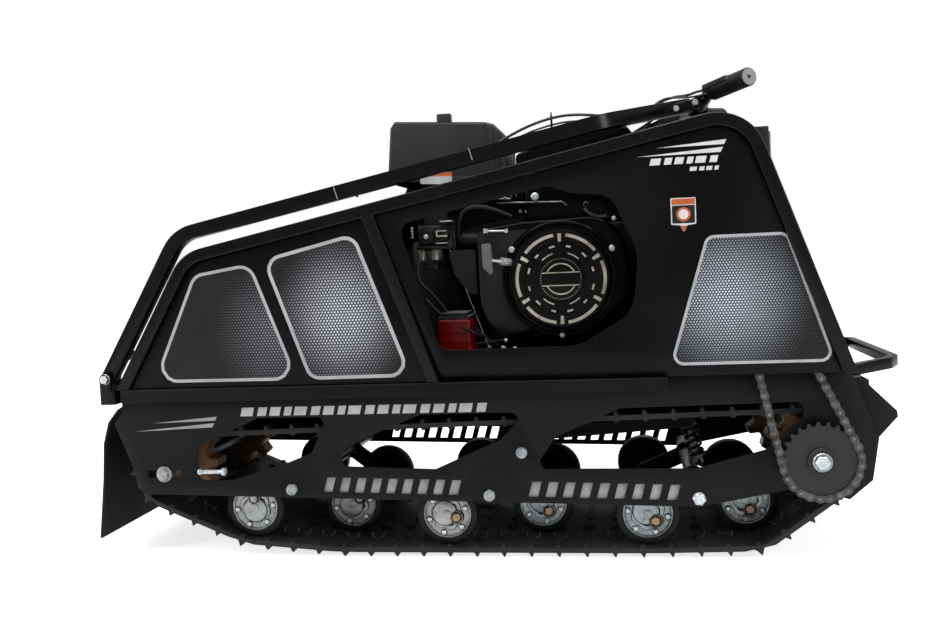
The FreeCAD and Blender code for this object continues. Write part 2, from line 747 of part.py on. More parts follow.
def chain_sprockets():
    """Steel discs that the chain wraps, on the jackshaft and on the drive axle."""
    thick = dim("sprocket_thick")
    discs = []
    for (x, z, pitch_radius), bore in zip(chain_circles(), (dim("jackshaft_radius"), dim("drive_axle_bore"))):
        low = Vector(x, -dim("chain_y") - thick / 2, z)
        radius = pitch_radius - dim("chain_high") / 2 - dim("running_gap")
        disc = Part.makeCylinder(radius, thick, low, Vector(0, 1, 0))
        discs.append(disc.cut(Part.makeCylinder(bore + 0.1, thick, low, Vector(0, 1, 0))))
    return coded("chain_sprockets", Part.makeCompound(discs))


def jackshaft():
    """Shaft from the belt drive on the left to the chain's small sprocket on the right."""
    right = "(dims.chain_y + 10)"
    shaft = rod("jackshaft", "dims.jackshaft_radius", f"{right} + dims.engine_wide / 2", "dims.jackshaft_x",
                f"-{right}", "dims.jackshaft_height")
    return keep("jackshaft", shaft)


def jackshaft_bearings():
    """Two bearing stands on the floor."""
    stands = []
    for name, y in (("right", "-(dims.chain_y - 33)"), ("left", "100")):
        stand = box(f"stand_{name}", "dims.jackshaft_x - 22", y, "dims.plate_top",
                    ("44", "22", "dims.jackshaft_height - dims.plate_top + 24"))
        bore = rod(f"stand_bore_{name}", "dims.jackshaft_radius + 0.1", "26", "dims.jackshaft_x",
                   f"{y} - 2", "dims.jackshaft_height")
        stands.append(drilled(f"bearing_stand_{name}", stand, [bore]))
    return gathered("jackshaft_bearings", stands)


def belt_guard():
    """Closed guard over the variable belt drive on the left."""
    y = dim("engine_wide") / 2
    circles = [
        (dim("engine_x"), dim("engine_height"), 100),
        (dim("jackshaft_x"), dim("jackshaft_height"), 80),
    ]
    outline = hull_of_circles(circles, 0)
    outline.translate(Vector(0, y, 0))
    return coded("belt_guard", Part.Face(outline).extrude(Vector(0, 75, 0)))


# --- body ----------------------------------------------------------------------------------------

def rounded_outline(points, radii):
    """Closed wire in the XZ plane with a tangent arc at each corner that has a radius."""
    edges = []
    count = len(points)
    ends = []
    for k in range(count):
        corner = Vector(points[k][0], 0, points[k][1])
        before = Vector(points[k - 1][0], 0, points[k - 1][1])
        after = Vector(points[(k + 1) % count][0], 0, points[(k + 1) % count][1])
        back, ahead = (before - corner).normalize(), (after - corner).normalize()
        radius = radii[k]
        if radius <= 0:
            ends.append((corner, None, corner))
            continue
        half = back.getAngle(ahead) / 2
        reach = radius / math.tan(half)
        inward = (back + ahead).normalize()
        centre = corner + inward * (radius / math.sin(half))
        ends.append((corner + back * reach, centre - inward * radius, corner + ahead * reach))
    for k in range(count):
        first, middle, last = ends[k]
        if middle is not None:
            edges.append(Part.Arc(first, middle, last).toShape())
        edges.append(Part.LineSegment(last, ends[(k + 1) % count][0]).toShape())
    return Part.Wire(edges)


def line_offset(points, depth):
    """Closed polygon moved inwards by a depth; the first side is the open bottom and stays."""
    count = len(points)
    moved = []
    for k in range(count):
        moved.append(None)
    sides = []
    for k in range(count):
        a, b = points[k], points[(k + 1) % count]
        dx, dz = b[0] - a[0], b[1] - a[1]
        length = math.hypot(dx, dz)
        inward = (-dz / length, dx / length)
        shift = depth if k != count - 1 else 0
        sides.append((a[0] + inward[0] * shift, a[1] + inward[1] * shift, dx, dz))
    for k in range(count):
        x1, z1, dx1, dz1 = sides[k - 1]
        x2, z2, dx2, dz2 = sides[k]
        cross = dx1 * dz2 - dz1 * dx2
        t = ((x2 - x1) * dz2 - (z2 - z1) * dx2) / cross
        moved[k] = (x1 + dx1 * t, z1 + dz1 * t)
    return moved


def body_outline(depth):
    """Body side seen from the right, at a depth inside the outer face: anticlockwise, bottom side last."""
    low = dim("plate_top")
    corners = [
        (value_of(at(642)), low), (value_of(at(480.3)), dim("front_height")),
        (value_of(at(-517.6)), dim("rear_height")), (value_of(at(-661)), low),
    ]
    moved = line_offset(corners, depth)
    front, rear = dim("hoop_front_corner") - depth, dim("hoop_rear_corner") - depth
    return rounded_outline(moved, [0, max(front, 1), max(rear, 1), 0])


POST_FOOT, POST_HEAD = (-76, 330), (-182, 629)


def post_outline(low_shift, high_shift):
    """Slanted post of the body side, its two long edges moved along X."""
    foot, head = value_of(at(POST_FOOT[0])), value_of(at(POST_HEAD[0]))
    low, high = dim("plate_top"), dim("plate_top") + POST_HEAD[1] - POST_FOOT[1]
    return [(foot + low_shift, low), (foot + high_shift, low), (head + high_shift, high),
            (head + low_shift, high)]


def body_band(outer_depth, inner_depth, low_y, high_y):
    """Shell between two depths of the body outline."""
    return ring_between(body_outline(outer_depth), body_outline(inner_depth), low_y, high_y)


def slab(x_low, x_high, z_low, z_high):
    """Block across the whole machine, for picking a stretch of a shell."""
    return Part.makeBox(x_high - x_low, 1000, z_high - z_low, Vector(x_low, -500, z_low))


def body_hoops():
    """Square tube bent round each side of the body, with its slanted post."""
    tube, half = dim("tube"), dim("body_half")
    for side, sign in SIDES:
        low_y = half - tube if sign > 0 else -half
        hoop = body_band(0, tube, low_y, low_y + tube)
        post = prism(post_outline(0, tube), low_y, low_y + tube)
        inside = Part.Face(body_outline(tube / 2))
        inside.translate(Vector(0, -500, 0))
        hoop = hoop.fuse(post.common(inside.extrude(Vector(0, 1000, 0))))
        coded(f"body_hoop_{side}", hoop.removeSplitter())


SKIN_DEPTH = 4
BEHIND_SKIN = SKIN_DEPTH + 2 + 0.3


def body_cross_tubes():
    """Tubes across the body, from hoop to hoop, behind the sheets."""
    inner = dim("body_half") - dim("tube")
    band = body_band(BEHIND_SKIN, BEHIND_SKIN + dim("tube"), -inner, inner)
    low = dim("plate_top")
    rear = value_of(at(-661))
    head = value_of(at(POST_HEAD[0]))
    front = value_of(at(480.3))
    pieces = [
        band.common(slab(rear, rear + 90, low, low + 24)),
        band.common(slab(head - 4, head + 18, low, 2000)),
        band.common(slab(front - 120, front - 98, low, 2000)),
        band.common(slab(front, front + 200, low, low + 24)),
    ]
    return coded("body_cross_tubes", Part.makeCompound(pieces))


def body_sheets():
    """Bent sheets between the hoops: one over the rear, one over the front, and a wall behind the engine."""
    inner = dim("body_half") - dim("tube")
    wall = dim("sheet_wall")
    shell = body_band(SKIN_DEPTH, SKIN_DEPTH + wall, -inner, inner)
    rear = value_of(at(-700))
    coded("rear_cover", shell.common(slab(rear, value_of(at(-200)), 0, 2000)))
    coded("front_cover", shell.common(slab(value_of(at(300)), value_of(at(700)), 0, 2000)))
    sheet_top = dim("plate_top") + POST_HEAD[1] - POST_FOOT[1] - 40
    wall_outline = post_outline(4, 4 + wall)
    bulkhead = prism(wall_outline, -inner, inner).common(slab(-2000, 2000, 0, sheet_top))
    coded("engine_bulkhead", bulkhead)


WINDOW = [(-52, 386, 25), (190, 387, 80), (283, 440, 60), (295, 540, 90), (252, 640, 40),
          (185, 647, 15), (147, 661, 20), (-116, 608, 22)]


def side_panels():
    """Sheets inside each hoop: the rear one behind the post, and the engine's one ahead of it."""
    tube, half, gap = dim("tube"), dim("body_half"), dim("panel_gap")
    wall = dim("sheet_wall")
    for side, sign in SIDES:
        outer = half - dim("panel_inset")
        low_y = outer - wall if sign > 0 else -outer
        face = Part.Face(body_outline(tube + gap))
        face.translate(Vector(0, low_y, 0))
        whole = face.extrude(Vector(0, wall, 0)).common(slab(-2000, 2000, dim("plate_top") + gap, 2000))
        behind = post_outline(-2000, -gap)
        ahead = post_outline(tube + gap, 2000)
        coded(f"rear_side_panel_{side}", whole.common(prism(stretched(behind), low_y, low_y + wall)))
        engine_panel = whole.common(prism(stretched(ahead), low_y, low_y + wall))
        if side == "right":
            shift = dim("engine_x") - 158
            rise = dim("engine_height") - 500
            window = rounded_outline([(x + shift, z + rise) for x, z, r in WINDOW], [r for x, z, r in WINDOW])
            window.translate(Vector(0, low_y - 1, 0))
            engine_panel = engine_panel.cut(Part.Face(window).extrude(Vector(0, wall + 2, 0)))
        coded(f"engine_side_panel_{side}", engine_panel)


def stretched(outline):
    """The post's slant carried up past the top of the body."""
    (ax, low), (bx, _), (cx, high), (dx, _) = outline
    more = 2.0
    return [(ax, low), (bx, low), (bx + (cx - bx) * more, low + (high - low) * more),
            (ax + (dx - ax) * more, low + (high - low) * more)]


def front_apron():
    """Folded sheet with cheeks that closes the nose between the side plates."""
    half, wall = dim("plate_gap") / 2 - 0.5, 3
    base = dim("plate_top")
    shift = value_of(at(640)) - 640
    profile = [(647, -18), (670, -18), (670, -27), (714, -72), (715, -82), (683, -118)]
    outer = [(px + shift, base + pz) for px, pz in profile]
    inner = [(654, -21), (667, -21), (667, -28.5), (710.5, -73.5), (711, -81), (684.5, -111)]
    inner = [(px + shift, base + pz) for px, pz in inner]
    hollow = prism(inner + [(660 + shift, base - 60)], -half + wall, half - wall)
    sheet_part = prism(outer, -half, half).cut(hollow)
    return coded("front_apron", sheet_part)


def tow_hitch():
    """Cross bar that closes the tunnel at the rear, with the tongue that a sled's pin drops into."""
    half = dim("plate_gap") / 2
    rear, front = value_of(at(-676)), value_of(at(DECK_REAR))
    base = dim("plate_top")
    bar = Part.makeBox(front - rear, 2 * half, 27, Vector(rear, -half, base - 30 + 3))
    tongue = Part.makeBox(50, 60, 8, Vector(rear - 36, -30, base - 22))
    nose = Part.makeCylinder(30, 8, Vector(rear - 36, 0, base - 22))
    hole = Part.makeCylinder(dim("tow_pin"), 20, Vector(rear - 36, 0, base - 26))
    return coded("tow_hitch", bar.multiFuse([tongue, nose]).cut(hole).removeSplitter())


BUMPER_FRONT = 742


def front_bumper():
    """Tube loop ahead of the nose, on two arms from the body."""
    front = value_of(at(642)) + BUMPER_FRONT - 642 - 8
    rear = value_of(at(642)) + 3.3
    base = dim("plate_top")
    half = dim("plate_gap") / 2
    right = [Vector(rear, 17.5 - half, base - 3), Vector(front - 18, 67.5 - half, base + 1),
             Vector(front, 101.5 - half, base + 2)]
    points = right + [Vector(p.x, -p.y, p.z) for p in reversed(right)]
    path = bent_path(points, [14, 14, 14, 14])
    direction = points[1] - points[0]
    section = square_section(points[0], direction, Vector(0, 0, 1).cross(direction), 16, 20)
    return coded("front_bumper", swept(path, section))


def mud_flap():
    """Rubber flap across the rear, curling out at its foot."""
    half, wall = dim("plate_gap") / 2, 5
    shift = value_of(at(-694)) + 694
    z_shift = dim("plate_top") - 330
    line = [(-668, 299), (-690, 286), (-710, 262), (-722, 222), (-728, 150), (-742, 38)]
    outer = [(x + shift, z + z_shift) for x, z in line]
    inner = [(x + wall, z) for x, z in outer]
    return coded("mud_flap", prism(outer + inner[::-1], -half, half))


def headlight():
    """Box lamp on the sloping nose, with its lens."""
    corner = value_of(at(480.3))
    rise = front_rise()
    slope = (value_of(at(642)) - corner) / (dim("front_height") - dim("plate_top"))
    low, high = corner + slope * 89, corner + slope * 12
    points = [(low - 3.7, 690), (low + 32.7, 688), (low + 34.7, 767), (high + 1.4, 767)]
    coded("headlight_housing", prism([(x, z + rise) for x, z in points], -60, 60))
    coded("headlight_lens", Part.makeBox(4, 100, 60, Vector(low + 35, -50, 698 + rise)))


# --- engine --------------------------------------------------------------------------------------

SHROUD = [(-152, -22, 70), (-66, -114, 60), (92, -114, 80), (132, -20, 90), (104, 112, 70), (-68, 106, 60),
          (-152, 96, 20)]


def fan_shroud():
    """Snail-shaped fan housing on the block's right face, its outline given from the crankshaft."""
    x, z = dim("engine_x"), dim("engine_height")
    face = dim("engine_wide") / 2
    outline = rounded_outline([(x + a, z + b) for a, b, r in SHROUD], [r for a, b, r in SHROUD])
    outline.translate(Vector(0, -face - dim("shroud_deep"), 0))
    return coded("fan_shroud", Part.Face(outline).extrude(Vector(0, dim("shroud_deep"), 0)))


TANK_SIDE = [(-84, 184), (135, 184), (135, 264), (126, 276), (110, 281), (-48, 252), (-84, 235)]


def fuel_tank():
    """Fuel tank on the cowl over the block, its outline given from the crankshaft."""
    x, z = dim("engine_x"), dim("engine_height")
    low = dim("plate_top") + dim("engine_foot") + dim("engine_tall")
    tank = prism([(x + a, z + b) for a, b in TANK_SIDE], -122, 118)
    cowl = Part.makeBox(190, 162, z + 184 - low, Vector(x - 68, -136, low))
    return coded("fuel_tank", tank.fuse(cowl))


def engine():
    """Engine as one block on its feet, with the pieces that show through the window and above it."""
    x, z = "dims.engine_x", "dims.engine_height"
    rear = "(dims.engine_x - dims.engine_long / 2)"
    side = "dims.engine_wide / 2"
    block = box("engine_block", rear, f"-{side}", "dims.plate_top + dims.engine_foot",
                ("dims.engine_long", "dims.engine_wide", "dims.engine_tall"))
    keep("engine_block", block)
    feet = []
    for name, shift in (("rear", 15), ("front", 205)):
        feet.append(box(f"engine_foot_{name}", f"{rear} + {shift}", f"-{side}", "dims.plate_top",
                        ("40", "dims.engine_wide", "dims.engine_foot")))
    gathered("engine_feet", feet)
    fan_shroud()
    cover = rod("recoil_cover", "dims.recoil_radius", "dims.recoil_deep", x,
                f"-{side} - dims.shroud_deep - dims.recoil_deep", z)
    keep("recoil_cover", cover)
    carburettor = box("carburettor", f"{rear} - 132", "-140", f"{z} + 45", ("74", "60", "65"))
    keep("carburettor", carburettor)
    manifold = rod("intake_manifold", "18", "58", f"{rear} - 58", "-110", f"{z} + 77", ALONG_X)
    neck = box("air_filter_neck", f"{rear} - 120", "-130", f"{z} + 110", ("46", "40", "82"))
    gathered("intake_pipes", [manifold, neck])
    air_filter = box("air_filter_box", f"{rear} - 183", "-150", f"{z} + 192", ("229", "165", "111"))
    keep("air_filter_box", air_filter)
    block_top = "dims.plate_top + dims.engine_foot + dims.engine_tall"
    keep("muffler", box("muffler", f"{rear} + 66", "40", block_top, ("170", "95", "80")))
    battery = box("battery_box", f"{rear} - 84", "-230", "dims.plate_top", ("61", "88", "104"))
    keep("battery_box", battery)
    fuel_tank()


# --- drawbar -------------------------------------------------------------------------------------

HANDLE_ROUTE = [(424, 0, 812), (424, -60, 812), (431, -150, 821), (490, -250, 830)]


def hinge_brackets():
    """Clevis behind each side plate, with the bolt that the drawbar turns on."""
    x, z = dim("hinge_x"), dim("hinge_height")
    tube, y = dim("drawbar_tube"), dim("drawbar_y")
    base = dim("plate_top")
    ear, slack, ear_half = 6, 1, 11.5
    plate_edge = value_of(at(-676))
    brackets = []
    for side, sign in SIDES:
        low, high = y - tube / 2 - slack - ear, y + tube / 2 + slack + ear
        foot = Part.makeBox(plate_edge - x + ear_half, high - low, 28, Vector(x - ear_half, low, base - 30))
        ears = []
        for start in (low, high - ear):
            plate = Part.makeBox(2 * ear_half, ear, z - base + 30, Vector(x - ear_half, start, base - 30))
            head = Part.makeCylinder(ear_half, ear, Vector(x, start, z), Vector(0, 1, 0))
            ears += [plate, head]
        bolt = Part.makeCylinder(dim("hinge_bolt"), high - low + 12, Vector(x, low - 6, z), Vector(0, 1, 0))
        nuts = [Part.makeCylinder(9, 6, Vector(x, start, z), Vector(0, 1, 0)) for start in (low - 6, high)]
        bracket = foot.multiFuse(ears + [bolt] + nuts)
        if sign < 0:
            bracket = bracket.mirror(Vector(), Vector(0, 1, 0))
        brackets.append(bracket.removeSplitter())
    return coded("hinge_brackets", Part.makeCompound(brackets))


def drawbar_points():
    """Centre line of the right arm, from the hinge to the middle of the front cross piece."""
    x, z, y = dim("hinge_x"), dim("hinge_height"), dim("drawbar_y")
    front = value_of(at(480.3)) - 480.3
    return [
        Vector(x, -y, z), Vector(x + 155.5, -y, z + 261.3), Vector(239 + front, -y, 766 + front_rise()),
        Vector(395 + front, -70, 811 + front_rise()), Vector(395 + front, 0, 811 + front_rise()),
    ]


def front_rise():
    """How far the front of the body stands above its nominal height."""
    return dim("front_height") - 779


def drawbar():
    """Square tube bent into one bow: two arms along the body that close in to a cross piece."""
    points = drawbar_points()
    tube = dim("drawbar_tube")
    path = bent_path(points, [dim("drawbar_bend"), 60, 45])
    start = points[0]
    section = square_section(start, points[1] - start, Vector(0, 1, 0), tube, tube)
    arm = swept(path, section)
    eye = Part.makeCylinder(tube / 2, tube, start - Vector(0, tube / 2, 0), Vector(0, 1, 0))
    arm = arm.fuse(eye)
    bow = arm.fuse(arm.mirror(Vector(), Vector(0, 1, 0)))
    hole = Part.makeCylinder(dim("hinge_bolt") + 0.08, 700, Vector(start.x, -350, start.z), Vector(0, 1, 0))
    return coded("drawbar", bow.cut(hole).removeSplitter())


def handle_point(k):
    """Point of the handlebar's centre line, on the right."""
    x, y, z = HANDLE_ROUTE[k]
    front = value_of(at(480.3)) - 480.3
    return Vector(x + front, y, z + front_rise())


def mirrored_pair(shape):
    """A shape on the right with its mirror image on the left."""
    return Part.makeCompound([shape, shape.mirror(Vector(), Vector(0, 1, 0))])


def handlebar(bow):
    """Round bar with both ends swept, its clamp, its grips and the levers by them."""
    points = [handle_point(k) for k in range(4)]
    radius = dim("handlebar_radius")
    end_gap = (points[3] - points[2]).normalize() * 4
    points[3] = points[3] - end_gap
    path = bent_path(points, [60, 60])
    half = swept(path, round_section(points[0], Vector(0, -1, 0), radius))
    coded("handlebar", half.fuse(half.mirror(Vector(), Vector(0, 1, 0))))
    tip = points[3] + end_gap
    run = (points[2] - tip).normalize()
    grip = Part.makeCylinder(dim("grip_radius"), GRIP_LONG, tip, run)
    bore = Part.makeCylinder(radius + 0.1, GRIP_LONG, tip + run * 3.9, run)
    coded("handle_grips", mirrored_pair(grip.cut(bore)))
    centre = points[0]
    cross = drawbar_points()[-1]
    face_x = cross.x + dim("drawbar_tube") / 2
    clamp = Part.makeBox(centre.x + 16 - face_x, 44, 34, Vector(face_x, -22, centre.z - 17))
    hole = Part.makeCylinder(radius + 0.1, 60, Vector(centre.x, -30, centre.z), Vector(0, 1, 0))
    coded("handlebar_clamp", clamp.cut(hole).cut(bow))


GRIP_LONG = 90
LEVER_RING = 10


def lever_ring():
    """Where the lever's ring sits on the bar, the direction to the bar's middle, and the rearward one."""
    inner, tip = handle_point(2), handle_point(3)
    run = (inner - tip).normalize()
    rearward = Vector(0, 0, 1).cross(run).normalize()
    return tip + run * (GRIP_LONG + 1), run, rearward


def control_levers():
    """Lever by each grip, on a ring clamped to the handlebar."""
    radius = dim("handlebar_radius")
    spot, run, rearward = lever_ring()
    ring = Part.makeCylinder(radius + 5, LEVER_RING, spot, run)
    ring = ring.cut(Part.makeCylinder(radius + 0.1, LEVER_RING, spot, run))
    root = spot + run * 5 + rearward * (radius + 4.5)
    knee = root + rearward * 22 - run * 16
    end = knee - run * 70
    section = square_section(root, knee - root, Vector(0, 0, 1), 8, 6)
    blade = swept(bent_path([root, knee, end], [12]), section)
    return coded("control_levers", mirrored_pair(ring.fuse(blade)))


CABLES = [
    (2.5, 13.7, 3,
     [(410, -137, 827.5), (399, -98, 827.5), (363, -90, 827), (323, -119, 803), (267.5, -199, 783)],
     [(0.945, 28), (0.886, 33), (0.821, 27), (0.754, 10), (0.656, 3), (0.158, 4)], 1.5),
    (1.8, 13, -5,
     [(409, -140, 818.5), (388.5, -114, 821), (349, -107, 825), (315, -139.5, 789.5), (269, -201.5, 772.5)],
     [(0.945, 17), (0.886, 21), (0.821, 16), (0.754, -1), (0.656, -7), (0.158, -6)], -4.5),
]


def over_bow_point(x, y, z):
    """Place of a cable's corner over the bow, given for the nominal drawbar."""
    front = value_of(at(480.3)) - 480.3
    more = dim("drawbar_tube") / 2 - 12.5
    spread = (dim("drawbar_y") - 70) / 205
    return Vector(x + front - more, -70 + (y + 70) * spread + more / 2, z + front_rise() + more)


def cable_route(radius, out, above, over_bow, along_arm, at_knee):
    """Corner points of a right-hand cable: lever ring, over the drawbar's bow, along the arm's inner side."""
    foot, knee, shoulder = drawbar_points()[:3]
    aside = Vector(0, dim("drawbar_tube") / 2 + radius, 0)
    ring, run, rearward = lever_ring()
    route = [ring + run * (LEVER_RING + 0.6) + rearward * out + Vector(0, 0, above)]
    route += [over_bow_point(*place) for place in over_bow]
    for share, lift in along_arm:
        route.append(knee + (shoulder - knee) * share + Vector(0, 0, lift) + aside)
    arm, upper = (knee - foot).normalize(), (shoulder - knee).normalize()
    outward = Vector(-arm.z - upper.z, 0, arm.x + upper.x).normalize()
    route.append(knee + outward * at_knee + aside)
    aside = aside + Vector(-arm.z, 0, arm.x) * along_arm[-1][1]
    return route + [foot + aside + arm * 225, foot + aside + arm * (60 + above)]


def control_cables():
    """Two cables on each side, from the lever to where they enter the hollow arm above its hinge."""
    cables = []
    for radius, out, above, over_bow, along_arm, at_knee in CABLES:
        route = cable_route(radius, out, above, over_bow, along_arm, at_knee)
        radii = []
        for k in range(1, len(route) - 1):
            back, ahead = route[k - 1] - route[k], route[k + 1] - route[k]
            half_turn = (math.pi - back.getAngle(ahead)) / 2
            radii.append(0.45 * min(back.Length, ahead.Length) / math.tan(half_turn))
        section = round_section(route[0], route[1] - route[0], radius)
        cables.append(swept(bent_path(route, radii), section))
    return coded("control_cables", Part.makeCompound([mirrored_pair(cable) for cable in cables]))


# --- build ---------------------------------------------------------------------------------------

for side, sign in SIDES:
    side_plate(side, sign)
slot_inserts()
deck()
sill_rails()
track_belt()
drive_axle()
drive_bearings()
track_sprockets("drive_sprockets", value_of(DRIVE_X), dim("drive_height"), dim("drive_axle_bore"),
                dim("sprocket_wrap"), dim("sprocket_teeth"))
idler_axle()
track_sprockets("idler_sprockets", value_of(IDLER_X), dim("idler_height"), dim("idler_axle_bore"),
                dim("idler_wrap"), dim("idler_teeth"))
track_tensioners()
rollers()
roller_axles()
bogie_arms()
cross_tubes()
shock_absorbers()
drive_chain()
chain_sprockets()
jackshaft()
jackshaft_bearings()
belt_guard()
body_hoops()
body_cross_tubes()
body_sheets()
side_panels()
front_apron()
front_bumper()
mud_flap()
tow_hitch()
headlight()
engine()
hinge_brackets()
handlebar(drawbar().Shape)
control_levers()
control_cables()
doc.recompute()

for thing in doc.Objects:
    if "Invalid" in thing.State or "Error" in thing.State:
        raise RuntimeError(f"{thing.Label} failed: {thing.State}")
for part in parts:
    if part.Shape.isNull() or not part.Shape.isValid() or not part.Shape.Solids:
        raise RuntimeError(f"{part.Label} has no valid solid")

os.makedirs("parts", exist_ok=True)
for part in parts:
    part.Shape.exportStep(f"parts/{part.Label}.step")
print(len(parts), "sub-parts written")
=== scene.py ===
import math

import bmesh
import bpy
from mathutils import Matrix, Vector


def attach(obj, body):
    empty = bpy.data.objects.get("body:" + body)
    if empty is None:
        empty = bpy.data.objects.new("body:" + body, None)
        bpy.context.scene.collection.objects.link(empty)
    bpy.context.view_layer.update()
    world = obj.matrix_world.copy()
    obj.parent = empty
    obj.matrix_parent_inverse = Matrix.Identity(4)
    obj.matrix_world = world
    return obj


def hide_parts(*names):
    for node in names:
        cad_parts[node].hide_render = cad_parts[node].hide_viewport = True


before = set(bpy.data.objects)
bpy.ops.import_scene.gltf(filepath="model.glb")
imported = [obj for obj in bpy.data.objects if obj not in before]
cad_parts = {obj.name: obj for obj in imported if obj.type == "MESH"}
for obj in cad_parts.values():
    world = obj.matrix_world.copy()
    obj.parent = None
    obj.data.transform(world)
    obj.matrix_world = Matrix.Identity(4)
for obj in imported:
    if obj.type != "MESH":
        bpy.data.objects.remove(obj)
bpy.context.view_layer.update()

# --- view ---
# The machine is seen from its right side, level with the engine and a little ahead of its middle.

lens_data = bpy.data.cameras.new("camera")
lens_data.sensor_width = 36
lens_data.lens = 37.58
lens_data.clip_end = 60
camera = bpy.data.objects.new("camera", lens_data)
bpy.context.scene.collection.objects.link(camera)
to_right, upward = (0.986685, 0.156443, -0.044478), (0.034431, 0.066355, 0.997202)
backward = (0.158956, -0.985456, 0.060085)
camera.matrix_world = Matrix.LocRotScale(
    Vector((0.27559, -1.98649, 0.55096)),
    Matrix((to_right, upward, backward)).transposed().to_quaternion(), None)
bpy.context.scene.camera = camera
bpy.context.scene.view_settings.view_transform = "Standard"

# --- control cables ---
# A throttle cable and a thinner stop cable on each side. They leave the lever's ring toward the middle,
# bow back over the bend of the drawbar, and lie along its arm to a rubber boot above the hinge.


def arithmetic(operation):
    """An operator: a Math node with the reading as its first term."""
    return lambda one, two: one.math(operation, one, two)


class Reading:
    """A value inside a material. Arithmetic on it adds Math nodes."""

    __add__, __sub__, __mul__ = arithmetic("ADD"), arithmetic("SUBTRACT"), arithmetic("MULTIPLY")
    __truediv__, __mod__, __pow__ = arithmetic("DIVIDE"), arithmetic("FLOORED_MODULO"), arithmetic("POWER")
    __radd__, __rmul__, __gt__ = __add__, __mul__, arithmetic("GREATER_THAN")

    def __init__(self, finish, socket):
        self.finish, self.socket = finish, socket

    def math(self, operation, *terms):
        return self.finish.node("ShaderNodeMath", {"operation": operation}, dict(enumerate(terms)))

    def __rsub__(self, other):
        return self.math("SUBTRACT", other, self)


class Finish:
    """A material: its Principled shader, and one method that adds any other node."""

    def __init__(self, name, **constants):
        self.material = bpy.data.materials.new(name)
        self.material.use_nodes = True
        self.tree = self.material.node_tree
        self.shader = self.tree.nodes["Principled BSDF"]
        for socket, number in constants.items():
            self.shader.inputs[socket.replace("_", " ")].default_value = number

    def node(self, kind, settings=None, sockets=None, output=0):
        made = self.tree.nodes.new(kind)
        for key, value in (settings or {}).items():
            setattr(made, key, value)
        for key, value in (sockets or {}).items():
            if isinstance(value, Reading):
                self.tree.links.new(value.socket, made.inputs[key])
            else:
                made.inputs[key].default_value = value
        return Reading(self, made.outputs[output])

    def feed(self, **sockets):
        for key, value in sockets.items():
            self.tree.links.new(value.socket, self.shader.inputs[key.replace("_", " ")])
        return self

    def place(self, axis=None):
        spot = self.node("ShaderNodeTexCoord", output="Object")
        if axis is None:
            return spot
        return self.node("ShaderNodeSeparateXYZ", None, {"Vector": spot}, output=axis)

    def noise(self, scale, detail=3.0, stretch=(1.0, 1.0, 1.0)):
        spot = self.node("ShaderNodeMapping", None, {"Vector": self.place(), "Scale": stretch})
        return self.node("ShaderNodeTexNoise", None, {"Vector": spot, "Scale": scale, "Detail": detail})

    def shade(self, factor, dark, light):
        """A mix of two colours; one number is a neutral grey."""
        dark, light = (c if isinstance(c, Reading) else (c, c, c, 1.0) if isinstance(c, float) else (*c, 1.0)
                       for c in (dark, light))
        return self.node("ShaderNodeMix", {"data_type": "RGBA"}, {"Factor": factor, "A": dark, "B": light},
                         output=2)

    def spread(self, value, low, high, out_low=0.0, out_high=1.0, kind="LINEAR"):
        return self.node("ShaderNodeMapRange", {"interpolation_type": kind},
                         {"Value": value, "From Min": low, "From Max": high, "To Min": out_low, "To Max": out_high})

    def relief(self, height, distance):
        return self.feed(Normal=self.node("ShaderNodeBump", None, {"Height": height, "Distance": distance}))


def varied(name, dark, light, roughness, cloud=9.0, grain=500.0, relief=0.0001, *, level=0.5, metal=0.0, low=0.35,
           swing=(-0.06, 0.08), details=(4.0, 2.0), stretch=(1.0, 1.0, 1.0)):
    """A finish whose colour and gloss drift slowly, over a fine grain."""
    made = Finish(name, Specular_IOR_Level=level, Metallic=metal)
    clouds = made.noise(cloud, details[0], stretch)
    made.feed(Base_Color=made.shade(made.spread(clouds, low, 0.7), dark, light),
              Roughness=made.spread(clouds, 0.3, 0.7, roughness + swing[0], roughness + swing[1]))
    return made.relief(made.noise(grain, details[1]), relief).material


def strand(name, points, thick, kind="NURBS", resolution=8, rounding=3):
    """A cord: one open spline with a round section and closed ends."""
    curve = bpy.data.curves.new(name, "CURVE")
    curve.dimensions = "3D"
    spline = curve.splines.new(kind)
    spline.points.add(len(points) - 1)
    for point, place in zip(spline.points, points):
        point.co = (*place, 1.0)
    spline.order_u = 3
    spline.use_endpoint_u = True
    curve.resolution_u = resolution
    curve.bevel_depth = thick / 2
    curve.bevel_resolution = rounding
    curve.use_fill_caps = True
    piece = bpy.data.objects.new(name, curve)
    bpy.context.scene.collection.objects.link(piece)
    return piece


CABLE_SKIN = varied("cable_skin", (0.006, 0.006, 0.007), (0.014, 0.014, 0.015), 0.38, 14, 900, 0.00006)

